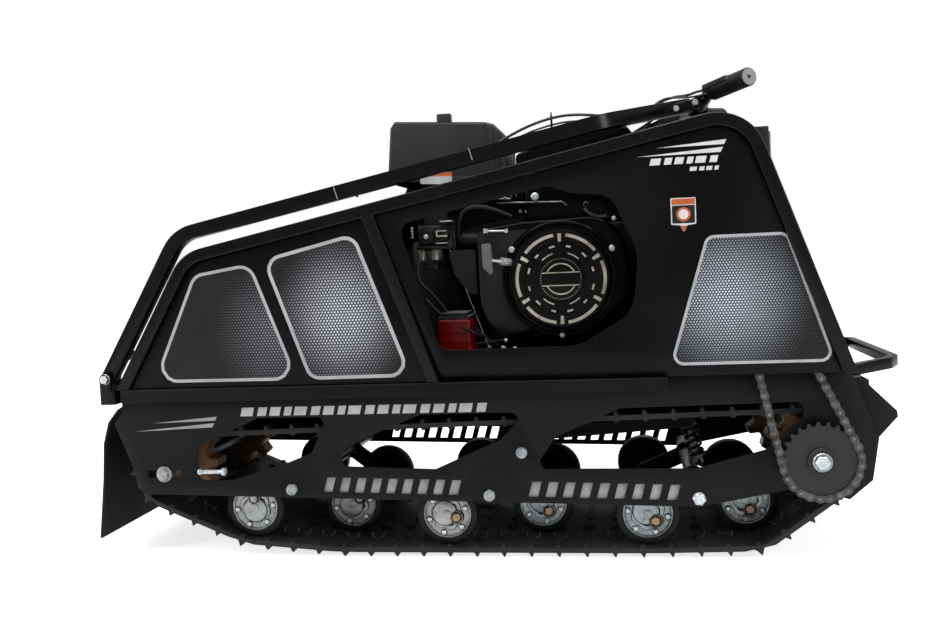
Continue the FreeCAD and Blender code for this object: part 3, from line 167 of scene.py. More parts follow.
for side, sign in (("right", 1), ("left", -1)):
    for kind, diameter, length, route in (
            ("throttle", 0.005, 1.35, (
                (0.4267, -0.1697, 0.8251), (0.41, -0.137, 0.8275), (0.399, -0.098, 0.8275), (0.363, -0.09, 0.827),
                (0.323, -0.119, 0.803), (0.2675, -0.199, 0.783), (0.1963, -0.26, 0.7854), (0.1504, -0.26, 0.7811),
                (0.0999, -0.26, 0.765), (0.0479, -0.26, 0.7375), (-0.0283, -0.26, 0.7151),
                (-0.4152, -0.26, 0.6381), (-0.5389, -0.26, 0.6105), (-0.5819, -0.26, 0.5434),
                (-0.6647, -0.26, 0.4042))),
            ("stop", 0.0036, 1.33, (
                (0.4273, -0.1694, 0.8171), (0.409, -0.14, 0.8185), (0.3885, -0.114, 0.821), (0.349, -0.107, 0.825),
                (0.315, -0.1395, 0.7895), (0.269, -0.2015, 0.7725), (0.1963, -0.2607, 0.7744),
                (0.1504, -0.2607, 0.7691), (0.0999, -0.2607, 0.754), (0.0479, -0.2607, 0.7265),
                (-0.0283, -0.2607, 0.7051), (-0.4152, -0.2607, 0.6281), (-0.5354, -0.2607, 0.6056),
                (-0.5733, -0.2607, 0.5383), (-0.6602, -0.2607, 0.3922)))):
        run = [(x, sign * y, z) for x, y, z in route]
        cable = strand(f"{kind}_cable_{side}", run, diameter)
        cable.data.materials.append(CABLE_SKIN)
        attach(cable, "drawbar_assembly")
        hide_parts("control_cables")

# --- frame and panels ---
# Bent and welded steel under satin black powder coat. Each piece keeps its made shape and gets the
# small edge radius that rolling or cutting leaves, because the light catches it.


def fresh(name, operator, **size):
    """A primitive at its size and place, alone in the selection."""
    bpy.ops.object.select_all(action="DESELECT")
    operator(**size)
    piece = bpy.context.object
    piece.name = piece.data.name = name
    return piece


def alone(piece):
    """The one selected and active object."""
    bpy.ops.object.select_all(action="DESELECT")
    piece.select_set(True)
    bpy.context.view_layer.objects.active = piece
    return piece


def opened(piece, kind="VERT"):
    """The piece in edit mode, selected all over."""
    alone(piece)
    bpy.ops.object.mode_set(mode="EDIT")
    bpy.ops.mesh.select_mode(type=kind)
    bpy.ops.mesh.select_all(action="SELECT")


def closed(piece, gap=0.0, flat=False):
    """Out of edit mode: near points merged, flat parts made one face, and faces turned outwards."""
    bpy.ops.mesh.select_all(action="SELECT")
    if gap:
        bpy.ops.mesh.remove_doubles(threshold=gap)
    if flat:
        bpy.ops.mesh.dissolve_limited(angle_limit=math.radians(1.0))
    bpy.ops.mesh.normals_make_consistent(inside=False)
    bpy.ops.object.mode_set(mode="OBJECT")
    return piece


def applied(piece, kind, **settings):
    """A modifier, applied at once."""
    alone(piece)
    modifier = piece.modifiers.new(kind.lower(), kind)
    for key, value in settings.items():
        setattr(modifier, key, value)
    bpy.ops.object.modifier_apply(modifier=modifier.name)
    return piece


def eased(piece, width, segments=2, angle=40):
    """The edges that turn by more than the angle, rounded."""
    return applied(piece, "BEVEL", width=width, segments=segments, limit_method="ANGLE",
                   angle_limit=math.radians(angle))


def finished(piece, material, slot, *replaced, body="chassis", angle=35):
    """Its place goes into the mesh; it gets its shading and material, and rides on its body."""
    alone(piece)
    piece.data.transform(piece.matrix_world)
    piece.matrix_world = Matrix.Identity(4)
    if material:
        piece.data.materials.clear()
        piece.data.materials.append(material)
    bpy.ops.object.shade_smooth_by_angle(angle=math.radians(angle))
    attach(piece, body)
    if replaced:
        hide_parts(*replaced)


def rounded(width, material, *nodes, slot="black_paint", segments=2, body="chassis"):
    """A merged copy of each CAD piece with its sharp edges rounded, in place of it."""
    for node in nodes:
        piece = bpy.data.objects.new(node + "_finish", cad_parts[node].data.copy())
        bpy.context.scene.collection.objects.link(piece)
        opened(piece)
        eased(closed(piece, 0.00002, True), width, segments)
        finished(piece, material, slot, node, body=body)


def coated(name, dark, light, roughness, level):
    """Powder coat: orange peel about 1.5 mm across, clouding, and fine scratches in the gloss."""
    coat = Finish(name, Specular_IOR_Level=level)
    clouds = coat.noise(7.0, 4.0)
    scratches = coat.noise(60.0, 2.0, (0.35, 1.0, 9.0)) > 0.7
    coat.feed(Base_Color=coat.shade(coat.spread(clouds, 0.35, 0.7), dark, light),
              Roughness=coat.spread(clouds, 0.3, 0.7, roughness - 0.05, roughness + 0.09) - scratches * 0.02)
    return coat.relief(coat.noise(650.0, 2.0), 0.0001).material


PANEL_COAT = coated("panel_powder_coat", (0.0018, 0.0018, 0.002), (0.003, 0.003, 0.0032), 0.3, 0.12)
TUBE_COAT = coated("tube_powder_coat", (0.0014, 0.0014, 0.0016), (0.0026, 0.0026, 0.0029), 0.22, 0.18)
PLATE_COAT = coated("plate_powder_coat", (0.005, 0.0048, 0.0052), (0.008, 0.0078, 0.0083), 0.44, 0.16)
INNER_COAT = coated("inner_powder_coat", (0.003, 0.003, 0.0032), (0.0058, 0.0058, 0.0061), 0.5, 0.12)

rounded(0.001, PLATE_COAT, "side_plate_right", "side_plate_left")
rounded(0.0012, PLATE_COAT, "front_apron")
rounded(0.0006, PANEL_COAT, "engine_side_panel_right", "engine_side_panel_left", "rear_side_panel_right",
        "rear_side_panel_left", "rear_cover", "front_cover")
rounded(0.0028, TUBE_COAT, "body_hoop_right", "body_hoop_left", "body_cross_tubes", segments=3)
rounded(0.003, TUBE_COAT, "drawbar", segments=3, body="drawbar_assembly")
rounded(0.0022, TUBE_COAT, "front_bumper")
rounded(0.0012, TUBE_COAT, "tow_hitch", "hinge_brackets")
for width, node in ((0.002, "sill_rails"), (0.0006, "engine_bulkhead"), (0.0008, "deck_floor"),
                    (0.0015, "jackshaft_bearings"), (0.001, "drive_bearings"), (0.0018, "engine_feet")):
    rounded(width, INNER_COAT, node)

# --- panel inlays ---
# Thin printed sheets stuck on the panels: a rounded light-grey rim round a dark field of staggered
# round dots, bright in the middle and fading to the corners. Both sides have the same three.


def softened(outline, radius, count=5):
    """The outline with each corner turned into an arc."""
    points, corners = [], [Vector(corner) for corner in outline]
    for before, corner, after in zip(corners[-1:] + corners[:-1], corners, corners[1:] + corners[:1]):
        one, two = before - corner, after - corner
        half = one.angle(two) / 2
        reach = min(radius / math.tan(half), 0.45 * min(one.length, two.length))
        bend = reach * math.tan(half)
        centre = corner + (one.normalized() + two.normalized()).normalized() * (bend / math.sin(half))
        start, end = (corner + way.normalized() * reach - centre for way in (one, two))
        points += [centre + start.lerp(end, n / count).normalized() * bend for n in range(count + 1)]
    return [tuple(point) for point in points]


def prism(name, outline, start, end, corner=0.0):
    """A sheet or bar: an outline in x and z, drawn out from y = start to y = end, its corners rounded."""
    if corner:
        outline = softened(outline, corner)
    piece = fresh(name, bpy.ops.mesh.primitive_circle_add, vertices=len(outline), fill_type="NGON")
    for vertex, (x, z) in zip(piece.data.vertices, outline):
        vertex.co = (x, start, z)
    opened(piece)
    bpy.ops.mesh.extrude_region_move(TRANSFORM_OT_translate={"value": (0, end - start, 0)})
    return closed(piece)


def pick(piece, wanted):
    """Edit mode with only the faces selected that wanted(centre) accepts."""
    opened(piece, "FACE")
    bpy.ops.mesh.select_all(action="DESELECT")
    mesh = bmesh.from_edit_mesh(piece.data)
    for face in mesh.faces:
        face.select_set(wanted(face.calc_center_median()))
    bmesh.update_edit_mesh(piece.data)


def joined(name, pieces):
    """Several pieces as one mesh."""
    alone(pieces[0])
    for piece in pieces[1:]:
        piece.select_set(True)
    bpy.ops.object.join()
    pieces[0].name = pieces[0].data.name = name
    return pieces[0]


def twin(piece, name, move=Matrix.Scale(-1, 4, (0, 1, 0))):
    """The same shape again, moved by a matrix or else mirrored to the other side."""
    other = piece.copy()
    other.data = piece.data.copy()
    other.name = other.data.name = name
    bpy.context.scene.collection.objects.link(other)
    other.data.transform(move)
    if move.determinant() < 0:
        other.data.flip_normals()
    return other


def both_sides(piece, *finish, **settings):
    """A piece and its mirror image, named right and left."""
    name = piece.name
    finished(twin(piece, name + "_left"), *finish, **settings)
    piece.name = piece.data.name = name + "_right"
    finished(piece, *finish, **settings)


def dotted(name, pitch, middle, reach, bright, tint):
    """Staggered dots whose brightness falls off from one place on the sheet."""
    made = Finish(name, Specular_IOR_Level=0.3)
    x, z = made.place(0), made.place(2)
    row_height = 0.866
    row = z / (pitch * row_height)
    column = x / pitch + row.math("FLOOR", row) % 2.0 * 0.5
    off_x = column.math("FRACT", column) - 0.5
    off_z = (row.math("FRACT", row) - 0.5) * row_height
    dot = made.spread((off_x * off_x + off_z * off_z) ** 0.5, 0.24, 0.36, 1.0, 0.0)
    away = (((x - middle[0]) / reach[0]) ** 2.0 + ((z - middle[1]) / reach[1]) ** 2.0) ** 0.5
    glow = made.spread(away, 0.0, 1.0, 1.0, 0.0, "SMOOTHSTEP") * (made.noise(30.0) * 0.25 + 0.87)
    ground = made.shade(glow, (0.002, 0.002, 0.0026), tint)
    made.feed(Base_Color=made.shade(dot, ground, made.shade(glow, (0.016, 0.016, 0.018), bright)),
              Roughness=made.spread(made.noise(20.0), 0.3, 0.7, 0.3, 0.44))
    return made.relief(dot, 0.00015).material


INLAY_RIM = varied("inlay_rim", (0.36, 0.37, 0.39), (0.5, 0.51, 0.53), 0.4, 12, 700, 0.00004)
PANEL_FACE, FILM = -0.31, 0.0004

for name, outline, corner, rim, *print_values in (
        ("rear_inlay", ((-0.499, 0.5365), (-0.39, 0.5525), (-0.312, 0.34), (-0.589, 0.341)), 0.03, 0.0056,
         0.0057, (-0.35, 0.43), (0.125, 0.14), (0.25, 0.26, 0.29), (0.011, 0.012, 0.015)),
        ("middle_inlay", ((-0.367, 0.5585), (-0.196, 0.597), (-0.103, 0.341), (-0.291, 0.34)), 0.027, 0.0062,
         0.0058, (-0.225, 0.455), (0.13, 0.15), (0.78, 0.81, 0.88), (0.058, 0.06, 0.07)),
        ("front_inlay", ((0.407, 0.565), (0.537, 0.565), (0.609, 0.349), (0.341, 0.349)), 0.017, 0.0048,
         0.0051, (0.44, 0.46), (0.145, 0.155), (0.72, 0.78, 0.87), (0.062, 0.067, 0.078))):
    sheet = prism(name, outline, PANEL_FACE - FILM, PANEL_FACE, corner)
    sheet.data.materials.append(INLAY_RIM)
    sheet.data.materials.append(dotted(name + "_field", *print_values))
    pick(sheet, lambda centre: centre.y < PANEL_FACE - 0.9 * FILM)
    bpy.ops.mesh.inset(thickness=rim, depth=0.0)
    sheet.active_material_index = 1
    bpy.ops.object.material_slot_assign()
    bpy.ops.object.mode_set(mode="OBJECT")
    both_sides(sheet, None, "grey_paint")

# --- track ---
# A moulded rubber belt on glass-fibre rods, 57 pitches long. Each pitch has a driving window on both
# sprocket lines with a pressed steel clip beside it, ribs inside, and a row of tread fins outside.


class Loop:
    """A closed route in the x-z plane round circles (x, z, radius), given anticlockwise."""

    def __init__(self, circles, step=3.0):
        leaving = []
        for (x0, z0, r0), (x1, z1, r1) in zip(circles, circles[1:] + circles[:1]):
            run = Vector((x1 - x0, z1 - z0))
            share = (r0 - r1) / run.length
            run.normalize()
            leaving.append(run * share + Vector((run.y, -run.x)) * math.sqrt(1 - share * share))
        self.samples = []
        for k, (x, z, radius) in enumerate(circles):
            first = math.atan2(leaving[k - 1].y, leaving[k - 1].x)
            turn = (math.atan2(leaving[k].y, leaving[k].x) - first) % math.tau
            count = max(1, round(math.degrees(turn) / step))
            for n in range(count + 1):
                angle = first + turn * n / count
                out = Vector((math.cos(angle), math.sin(angle)))
                self.samples.append((Vector((x, z)) + out * radius, out))
        self.samples.append(self.samples[0])
        self.reached = [0.0]
        for (a, _), (b, _) in zip(self.samples, self.samples[1:]):
            self.reached.append(self.reached[-1] + (b - a).length)
        self.length = self.reached[-1]

    def at(self, distance):
        """The place at a distance along the route, and the way out of it."""
        distance %= self.length
        low, high = 0, len(self.reached) - 1
        while high - low > 1:
            middle = (low + high) // 2
            low, high = (middle, high) if self.reached[middle] <= distance else (low, middle)
        (a, out_a), (b, out_b) = self.samples[low], self.samples[high]
        share = (distance - self.reached[low]) / max(self.reached[high] - self.reached[low], 1e-9)
        return a.lerp(b, share), out_a.lerp(out_b, share).normalized()

    def wrap(self, piece):
        """Lays a flat piece, x along and z out, round the route, which mirrors it."""
        for vertex in piece.data.vertices:
            place, out = self.at(vertex.co.x)
            vertex.co.x, vertex.co.z = place + out * vertex.co.z
        piece.data.flip_normals()
        return piece


PITCHES = 57
BELT_ROUTE = Loop([(-0.599, 0.163, 0.064), (-0.44, 0.088, 0.057), (-0.269, 0.074, 0.057),
                   (0.297, 0.074, 0.057), (0.476, 0.078, 0.057), (0.585, 0.18, 0.075)])
PITCH = BELT_ROUTE.length / PITCHES


def all_round(piece):
    """One pitch's worth of a flat piece, repeated to the length of the belt."""
    return applied(piece, "ARRAY", count=PITCHES, use_relative_offset=False, use_constant_offset=True,
                   constant_offset_displace=(PITCH, 0, 0))


rubber = Finish("track_rubber", Specular_IOR_Level=0.3)
dust = rubber.noise(6.0, 5.0)
rubber.feed(Base_Color=rubber.shade(rubber.spread(dust, 0.4, 0.72), 0.016, (0.038, 0.037, 0.036)),
            Roughness=rubber.spread(dust, 0.3, 0.7, 0.55, 0.75))
TRACK_RUBBER = rubber.relief(rubber.noise(260.0, 4.0) + rubber.noise(1500.0, 1.0) * 0.4, 0.00035).material
CLIP_STEEL = varied("clip_steel", 0.06, 0.19, 0.5, 40, 600, level=0.2)

belt = fresh("track_belt_band", bpy.ops.mesh.primitive_grid_add, x_subdivisions=5, y_subdivisions=20, size=1)
across = [-0.25, -0.244, -0.236, -0.205, -0.1745, -0.1725, -0.1275, -0.1255, -0.1, -0.07, 0]
across += [-y for y in reversed(across[:10])]
levels = sorted({round(v.co.y, 4) for v in belt.data.vertices})
for vertex in belt.data.vertices:
    vertex.co = (vertex.co.x * PITCH, across[levels.index(round(vertex.co.y, 4))], 0.005)
pick(belt, lambda centre: 0.13 < abs(centre.y) < 0.15 and abs(centre.x) < PITCH * 0.15)
bpy.ops.mesh.delete(type="FACE")
bpy.ops.object.mode_set(mode="OBJECT")
all_round(belt)
applied(belt, "WELD", merge_threshold=0.0002)
applied(belt, "SOLIDIFY", thickness=0.005, offset=-1.0)
opened(BELT_ROUTE.wrap(belt))
finished(closed(belt, 0.0003), TRACK_RUBBER, "track_rubber", "track_belt", angle=50)

fin = ((-0.011, 0.0048), (0.008, 0.0048), (0.0052, 0.01), (0.003, 0.0168), (0.0012, 0.0165), (-0.004, 0.0085))
thin = ((-0.003, 0.0048), (0.003, 0.0048), (0.0012, 0.0155), (-0.0008, 0.0155))
behind, ahead = ([(x + shift, z) for x, z in thin] for shift in (-0.0135, 0.0165))
edge = ((-PITCH / 2, 0.0046), (PITCH / 2, 0.0046), (PITCH / 2, 0.0088), (-PITCH / 2, 0.0088))
rib = ((-0.005, 0.0002), (-0.003, -0.004), (0.003, -0.004), (0.005, 0.0002))
horn = ((-0.0105, 0.0002), (0.0105, 0.0002), (0.008, -0.0062), (-0.008, -0.0062))
moulded = [
    (fin, -0.249, -0.18), (fin, 0.18, 0.249), (edge, -0.2498, -0.237), (edge, 0.237, 0.2498),
    (fin, -0.12, -0.014), (fin, 0.014, 0.12), (behind, -0.06, 0.06), (ahead, -0.118, -0.072),
    (ahead, 0.072, 0.118), (rib, -0.248, -0.234), (rib, -0.198, -0.176), (rib, 0.234, 0.248),
    (rib, 0.176, 0.198), (rib, -0.122, -0.092), (rib, 0.092, 0.122), (rib, -0.062, 0.062),
    *((horn, y - 0.003, y + 0.003) for y in (-0.1165, 0.1165, -0.179, 0.179))]
tread = all_round(joined("track_tread", [prism("lug", *shape) for shape in moulded]))
finished(BELT_ROUTE.wrap(tread), TRACK_RUBBER, "track_rubber", "track_belt", angle=20)

clip = (((-0.0108, 0.0), (-0.009, 0.0), (-0.0116, -0.0086), (-0.0134, -0.0086)),
        ((0.009, 0.0), (0.0108, 0.0), (0.0134, -0.0086), (0.0116, -0.0086)),
        ((-0.01, 0.0), (0.01, 0.0), (0.01, -0.0018), (-0.01, -0.0018)))
clips = joined("track_clips", [prism("clip", side, y - 0.005, y + 0.005) for y in (-0.179, 0.179) for side in clip])
finished(BELT_ROUTE.wrap(all_round(clips)), CLIP_STEEL, "zinc_steel", "track_belt", angle=30)

# --- road wheels ---
# Twelve of one kind: a solid rubber tyre on two pressed discs held by six bolts, with a wavy raised
# ring, a domed cap, and the end of its axle bolt beside the cap: zinc at the rear, bronze further on.


def turned(name, profile, steps=48):
    """A turned piece about the y axis: profile points are (y, radius)."""
    piece = fresh(name, bpy.ops.mesh.primitive_circle_add, vertices=len(profile), fill_type="NOTHING")
    for vertex, (y, radius) in zip(piece.data.vertices, profile):
        vertex.co = (radius, y, 0)
    opened(piece)
    bpy.ops.mesh.spin(steps=steps, angle=math.tau, center=(0, 0, 0), axis=(0, 1, 0))
    return closed(piece, 0.00001)


def lathe(name, outer, steps=24, at=(0, 0, 0)):
    """A solid turned about y, from the axis to the axis, then moved to its place."""
    axis = 0.00002
    return placed(turned(name, [(outer[0][0], axis), *outer, (outer[-1][0], axis)], steps), *at)


def placed(piece, *place):
    """Moves the mesh itself."""
    piece.data.transform(Matrix.Translation(place))
    return piece


def zinc(name, dark, light, roughness, metallic):
    """Zinc plate: pale blue-grey with spangle and handling marks, with painted shade in crevices and painted shade on
    the inner row, deepening toward the rear.
    """
    made = Finish(name, Metallic=metallic)
    spangle = made.node("ShaderNodeTexVoronoi", None, {"Vector": made.place(), "Scale": 160.0})
    marks = made.noise(28.0, 5.0)
    mixed = made.spread(spangle * 0.25 + marks, 0.3, 0.95)
    # Painted shade: parts nearer the middle than the outer wheel row are darkened toward the rear, down to 0.42
    # behind x = -0.2.
    outer = made.spread((made.place(1) ** 2.0) ** 0.5, 0.165, 0.185)
    painted_row_shade = made.spread(made.place(0), -0.2, 0.05, 0.42, 1.0)
    blue = tuple(value * tone for value, tone in zip(light, (0.86, 0.99, 1.04)))
    cool = made.shade(made.spread(made.noise(5.0), 0.42, 0.58), light, blue)
    # Painted shade: an occlusion node darkens the colour in crevices and hollows.
    painted_crevice_shade = made.node("ShaderNodeAmbientOcclusion", {"samples": 6, "only_local": True}, {"Distance": 0.006},
                        output=1)
    zinc_without_crevice_shade = made.shade(mixed * (painted_row_shade * (1.0 - outer) + outer), dark, cool)
    made.feed(Base_Color=made.shade(made.spread(painted_crevice_shade, 0.35, 0.85), (0.012, 0.012, 0.013), zinc_without_crevice_shade),
              Roughness=made.spread(marks, 0.3, 0.7, roughness - 0.07, roughness + 0.12))
    return made.relief(marks, 0.00008).material


ZINC = zinc("zinc_plate", (0.09, 0.095, 0.1), (0.6, 0.59, 0.57), 0.3, 0.5)
BRIGHT_ZINC = zinc("bright_zinc", (0.42, 0.44, 0.45), (0.92, 0.93, 0.93), 0.26, 0.4)
BRONZE = varied("passivated_bolt", (0.3, 0.17, 0.085), (0.52, 0.36, 0.22), 0.34, 60, 900, metal=0.35)
TYRE_RUBBER = varied("tyre_rubber", 0.0035, (0.01, 0.0098, 0.0095), 0.5, 24, 600, 0.0002, low=0.4,
                     swing=(0.0, 0.2), details=(5.0, 3.0), level=0.25)


def wavy_edge(radius):
    """The outline, in x and z, of a ring with six lobes."""
    turns = [math.tau * n / 72 for n in range(72)]
    reach = [radius - 0.002 * math.cos(6 * (turn - math.radians(18))) for turn in turns]
    return [(far * math.cos(turn), far * math.sin(turn)) for far, turn in zip(reach, turns)]


BOLT_SPOTS = [(0.0354 * math.cos(a), 0, 0.0354 * math.sin(a)) for a in (math.radians(17 + 60 * k) for k in range(6))]
CAP, BOSS = (-0.0045, 0, 0.0018), (0.0172, 0, -0.0054)

tyre = turned("tyre", (
    (-0.014, 0.0462), (-0.0137, 0.052), (-0.0118, 0.0556), (-0.0085, 0.057), (0.0085, 0.057), (0.0118, 0.0556),
    (0.0137, 0.052), (0.014, 0.0462), (0.0125, 0.0446), (-0.0125, 0.0446)), 64)
disc = lathe("disc", (
    (-0.007, 0.006), (-0.007, 0.025), (-0.01, 0.0262), (-0.01, 0.04), (-0.012, 0.0406), (-0.0134, 0.0416),
    (-0.0138, 0.0428), (-0.0132, 0.044), (-0.0118, 0.0447), (0.0, 0.0447)), 64)
rear_disc = lathe("rear_disc", (
    (0.0, 0.0447), (0.0105, 0.0447), (0.0128, 0.044), (0.0126, 0.0424), (0.0098, 0.0408), (0.0098, 0.03),
    (0.005, 0.0285), (0.005, 0.016), (0.012, 0.015), (0.012, 0.008)), 64)
wavy = fresh("wavy_ring", bpy.ops.mesh.primitive_circle_add, vertices=72, fill_type="NOTHING")
for vertex, (x, z) in zip(wavy.data.vertices, wavy_edge(0.0287)):
    vertex.co = (x, -0.0098, z)
opened(wavy)
for y, scale in ((-0.0024, 0.985), (0.0, 0.86), (0.0002, 0.9)):
    bpy.ops.mesh.extrude_region_move(TRANSFORM_OT_translate={"value": (0, y, 0)})
    bpy.ops.transform.resize(value=(scale, 1, scale), center_override=(0, 0, 0))
bpy.ops.object.mode_set(mode="OBJECT")
wavy.data.flip_normals()
cap = lathe("cap", ((-0.006, 0.0228), (-0.0128, 0.0228), (-0.0138, 0.022), (-0.0146, 0.017), (-0.015, 0.009),
                    (-0.0151, 0.002)), 44, CAP)
boss = lathe("boss", ((-0.01, 0.012), (-0.0158, 0.0118), (-0.0162, 0.011), (-0.015, 0.0098)), 32, BOSS)
wheel = joined("wheel", [disc, wavy, cap, boss])
bolt_ring = joined("bolt_ring", [
    lathe("disc_bolt", ((-0.0098, 0.0049), (-0.0134, 0.0047), (-0.0146, 0.0032)), 12, spot) for spot in BOLT_SPOTS])
axle_bolt = lathe("axle_bolt", ((-0.012, 0.0084), (-0.0172, 0.0084), (-0.0182, 0.007)), 6, BOSS)
# Painted shade: thin black rings and a wavy sheet stand just proud of the wavy ring, cap, boss, axle bolt and disc
# bolts, as dark lines where shade falls round them.
painted_light_and_shade_lines = joined("painted_light_and_shade_lines", [
    prism("wavy_painted_shade_line", wavy_edge(0.0296), -0.0107, -0.0097),
    *(lathe("painted_line", ((-0.01, radius), (face, radius)), 44, spot)
      for radius, face, spot in ((0.024, -0.0126, CAP), (0.0132, -0.014, BOSS), (0.0098, -0.0154, BOSS))),
    *(lathe("painted_line", ((-0.0096, 0.006), (-0.0108, 0.006)), 20, spot) for spot in BOLT_SPOTS)])

STATIONS = [Matrix.Translation((x, -y, z)) @ Matrix.Rotation(math.radians(turn), 4, "Y") for x, y, z, turn in (
    (-0.44, 0.216, 0.088, -110), (-0.269, 0.138, 0.074, -57), (-0.068, 0.216, 0.074, 0),
    (0.103, 0.138, 0.074, 37), (0.297, 0.216, 0.074, 26), (0.476, 0.138, 0.078, 50))]
for part, name, finish, slot, node, stations in (
        (tyre, "tyres", TYRE_RUBBER, "track_rubber", "roller_rubbers", STATIONS),
        (wheel, "wheel_discs", ZINC, "zinc_steel", "roller_discs", STATIONS),
        (rear_disc, "wheel_backs", INNER_COAT, "black_paint", "roller_discs", STATIONS),
        (painted_light_and_shade_lines, "wheel_painted_shade_rings", INNER_COAT, "black_paint", "roller_discs", STATIONS),
        (bolt_ring, "disc_bolts", BRIGHT_ZINC, "zinc_steel", "roller_discs", STATIONS),
        (axle_bolt, "rear_axle_bolts", ZINC, "zinc_steel", "roller_axles", STATIONS[:2]),
        (axle_bolt, "wheel_axle_bolts", BRONZE, "zinc_steel", "roller_axles", STATIONS[2:])):
    copies = []
    for station in stations:
        copies.append(twin(part, name, station))
        copies.append(twin(copies[-1], name))
    finished(joined(name, copies), finish, slot, node, angle=30)
for part in (tyre, wheel, rear_disc, painted_light_and_shade_lines, bolt_ring, axle_bolt):
    bpy.data.objects.remove(part)
rounded(0.0008, ZINC, "roller_axles", slot="zinc_steel")

# --- suspension and plate bolts ---
# Rocking arms of plate steel on cross tubes. The tubes end in zinc hex bolts on the side plates, each
# with a washer; the shock absorbers are coils over a damper, between two cups.

rounded(0.0012, INNER_COAT, "bogie_arms")
rounded(0.001, INNER_COAT, "shock_links")
rounded(0.0008, ZINC, "suspension_cross_tubes", "drive_axle", "idler_axle", "jackshaft", slot="zinc_steel")
rounded(0.0006, BRIGHT_ZINC, "track_tensioners", slot="zinc_steel")


def bolt(name, *layers):
    """A hex bolt's head, lying toward -y: washer, head and stamp, each a profile and its sides."""
    return joined(name, [lathe("layer", profile, sides) for profile, sides in layers])


hex_head = bolt("hex_head", (((0.0, 0.0128), (-0.0018, 0.0128), (-0.0022, 0.0124)), 28),
                (((-0.0022, 0.0138), (-0.009, 0.0138), (-0.0108, 0.0116)), 6),
                (((-0.0106, 0.0062), (-0.0112, 0.0056)), 16))
axle_head = bolt("axle_head", (((0.0, 0.015), (-0.0022, 0.015), (-0.0026, 0.0146)), 28),
                 (((-0.0026, 0.0112), (-0.0088, 0.0112), (-0.0102, 0.0096)), 6),
                 (((-0.01, 0.0052), (-0.0106, 0.0048)), 16))
PLATE_FACE = -0.2706
plate_bolts = []
for k, (head, x, z, size) in enumerate((
        (hex_head, -0.348, 0.133, 0.76), (hex_head, 0.019, 0.12, 0.76), (hex_head, 0.08, 0.197, 0.58),
        (hex_head, 0.385, 0.112, 0.84), (axle_head, -0.599, 0.163, 1.0))):
    spot = Matrix.Translation((x, PLATE_FACE, z)) @ Matrix.Rotation(0.4 * k, 4, "Y") @ Matrix.Scale(size, 4)
    plate_bolts.append(twin(head, "plate_bolt", spot))
    plate_bolts.append(twin(plate_bolts[-1], "plate_bolt"))
bpy.data.objects.remove(hex_head)
bpy.data.objects.remove(axle_head)
finished(joined("plate_bolts", plate_bolts), BRIGHT_ZINC, "zinc_steel", angle=25)


def tube(name, points, radius, kind="NURBS"):
    """A round bar or hose along a line, as a mesh."""
    alone(strand(name, points, radius * 2, kind, 6, 2))
    bpy.ops.object.convert(target="MESH")
    return bpy.context.object


def helix(radius, low, high, turns, steps=18):
    """Points of a coil about z, close-wound at both ends."""
    points, last = [], round(turns * steps)
    for n in range(last + 1):
        share = n / last
        eased_share = min(max((share - 0.12) / 0.76, 0.0), 1.0) * 0.9 + share * 0.1
        angle = math.tau * turns * share
        points.append((radius * math.cos(angle), radius * math.sin(angle), low + (high - low) * eased_share))
    return points


def pair(piece, name):
    """One mesh of a piece and its mirror image on the other side."""
    return joined(name, [piece, twin(piece, name)])


top, foot = Vector((0.378, -0.088, 0.218)), Vector((0.398, -0.088, 0.14))
run = (top - foot).length
along = Matrix.Translation(foot) @ (top - foot).to_track_quat("Z", "Y").to_matrix().to_4x4()
spring = tube("spring", helix(0.013, 0.012, run - 0.012, 6.0), 0.0026, "POLY")
core = 0.0002
upright = [turned("damper", (
    (-0.006, core), (-0.006, 0.0085), (-0.042, 0.0085), (-0.044, 0.006), (-0.05, 0.006), (-0.05, 0.0045),
    (-run + 0.006, 0.0045), (-run + 0.006, core)), 20)]
for low in (0.009, run - 0.012):
    upright.append(turned("cup", ((-low, core), (-low, 0.0158), (-low - 0.003, 0.0158), (-low - 0.003, core)), 24))
for part in upright:
    part.data.transform(Matrix.Rotation(math.radians(90), 4, "X") @ Matrix.Scale(-1, 4, (0, 1, 0)))
    part.data.flip_normals()
eyes = [lathe("eye", ((-0.008, 0.0088), (-0.007, 0.0092), (0.007, 0.0092), (0.008, 0.0088)), 24, (0, 0, height))
        for height in (0.0, run)]
for part, name, finish in ((joined("damper", upright + eyes), "dampers", ZINC), (spring, "coil_springs", TUBE_COAT)):
    part.data.transform(along)
    finished(pair(part, name), finish, "black_paint", "shock_absorbers", angle=30)

# --- sprockets ---
# Cast brown plastic track sprockets, ribbed between hub and rim; the rear ones are a little smaller.

BROWN = varied("brown_plastic", (0.16, 0.075, 0.028), (0.3, 0.15, 0.06), 0.36, 18, 300, 0.0002, swing=(0.0, 0.19),
               details=(5.0, 3.0), stretch=(1, 0.4, 1), level=0.4)
rounded(0.0016, BROWN, "drive_sprockets", "idler_sprockets", slot="brown_plastic")

# --- final drive ---
# A single roller chain, 15.9 mm pitch, from the small jackshaft sprocket behind the panel down to
# the 25-tooth plate sprocket on the drive axle, which is held by a large zinc bolt.

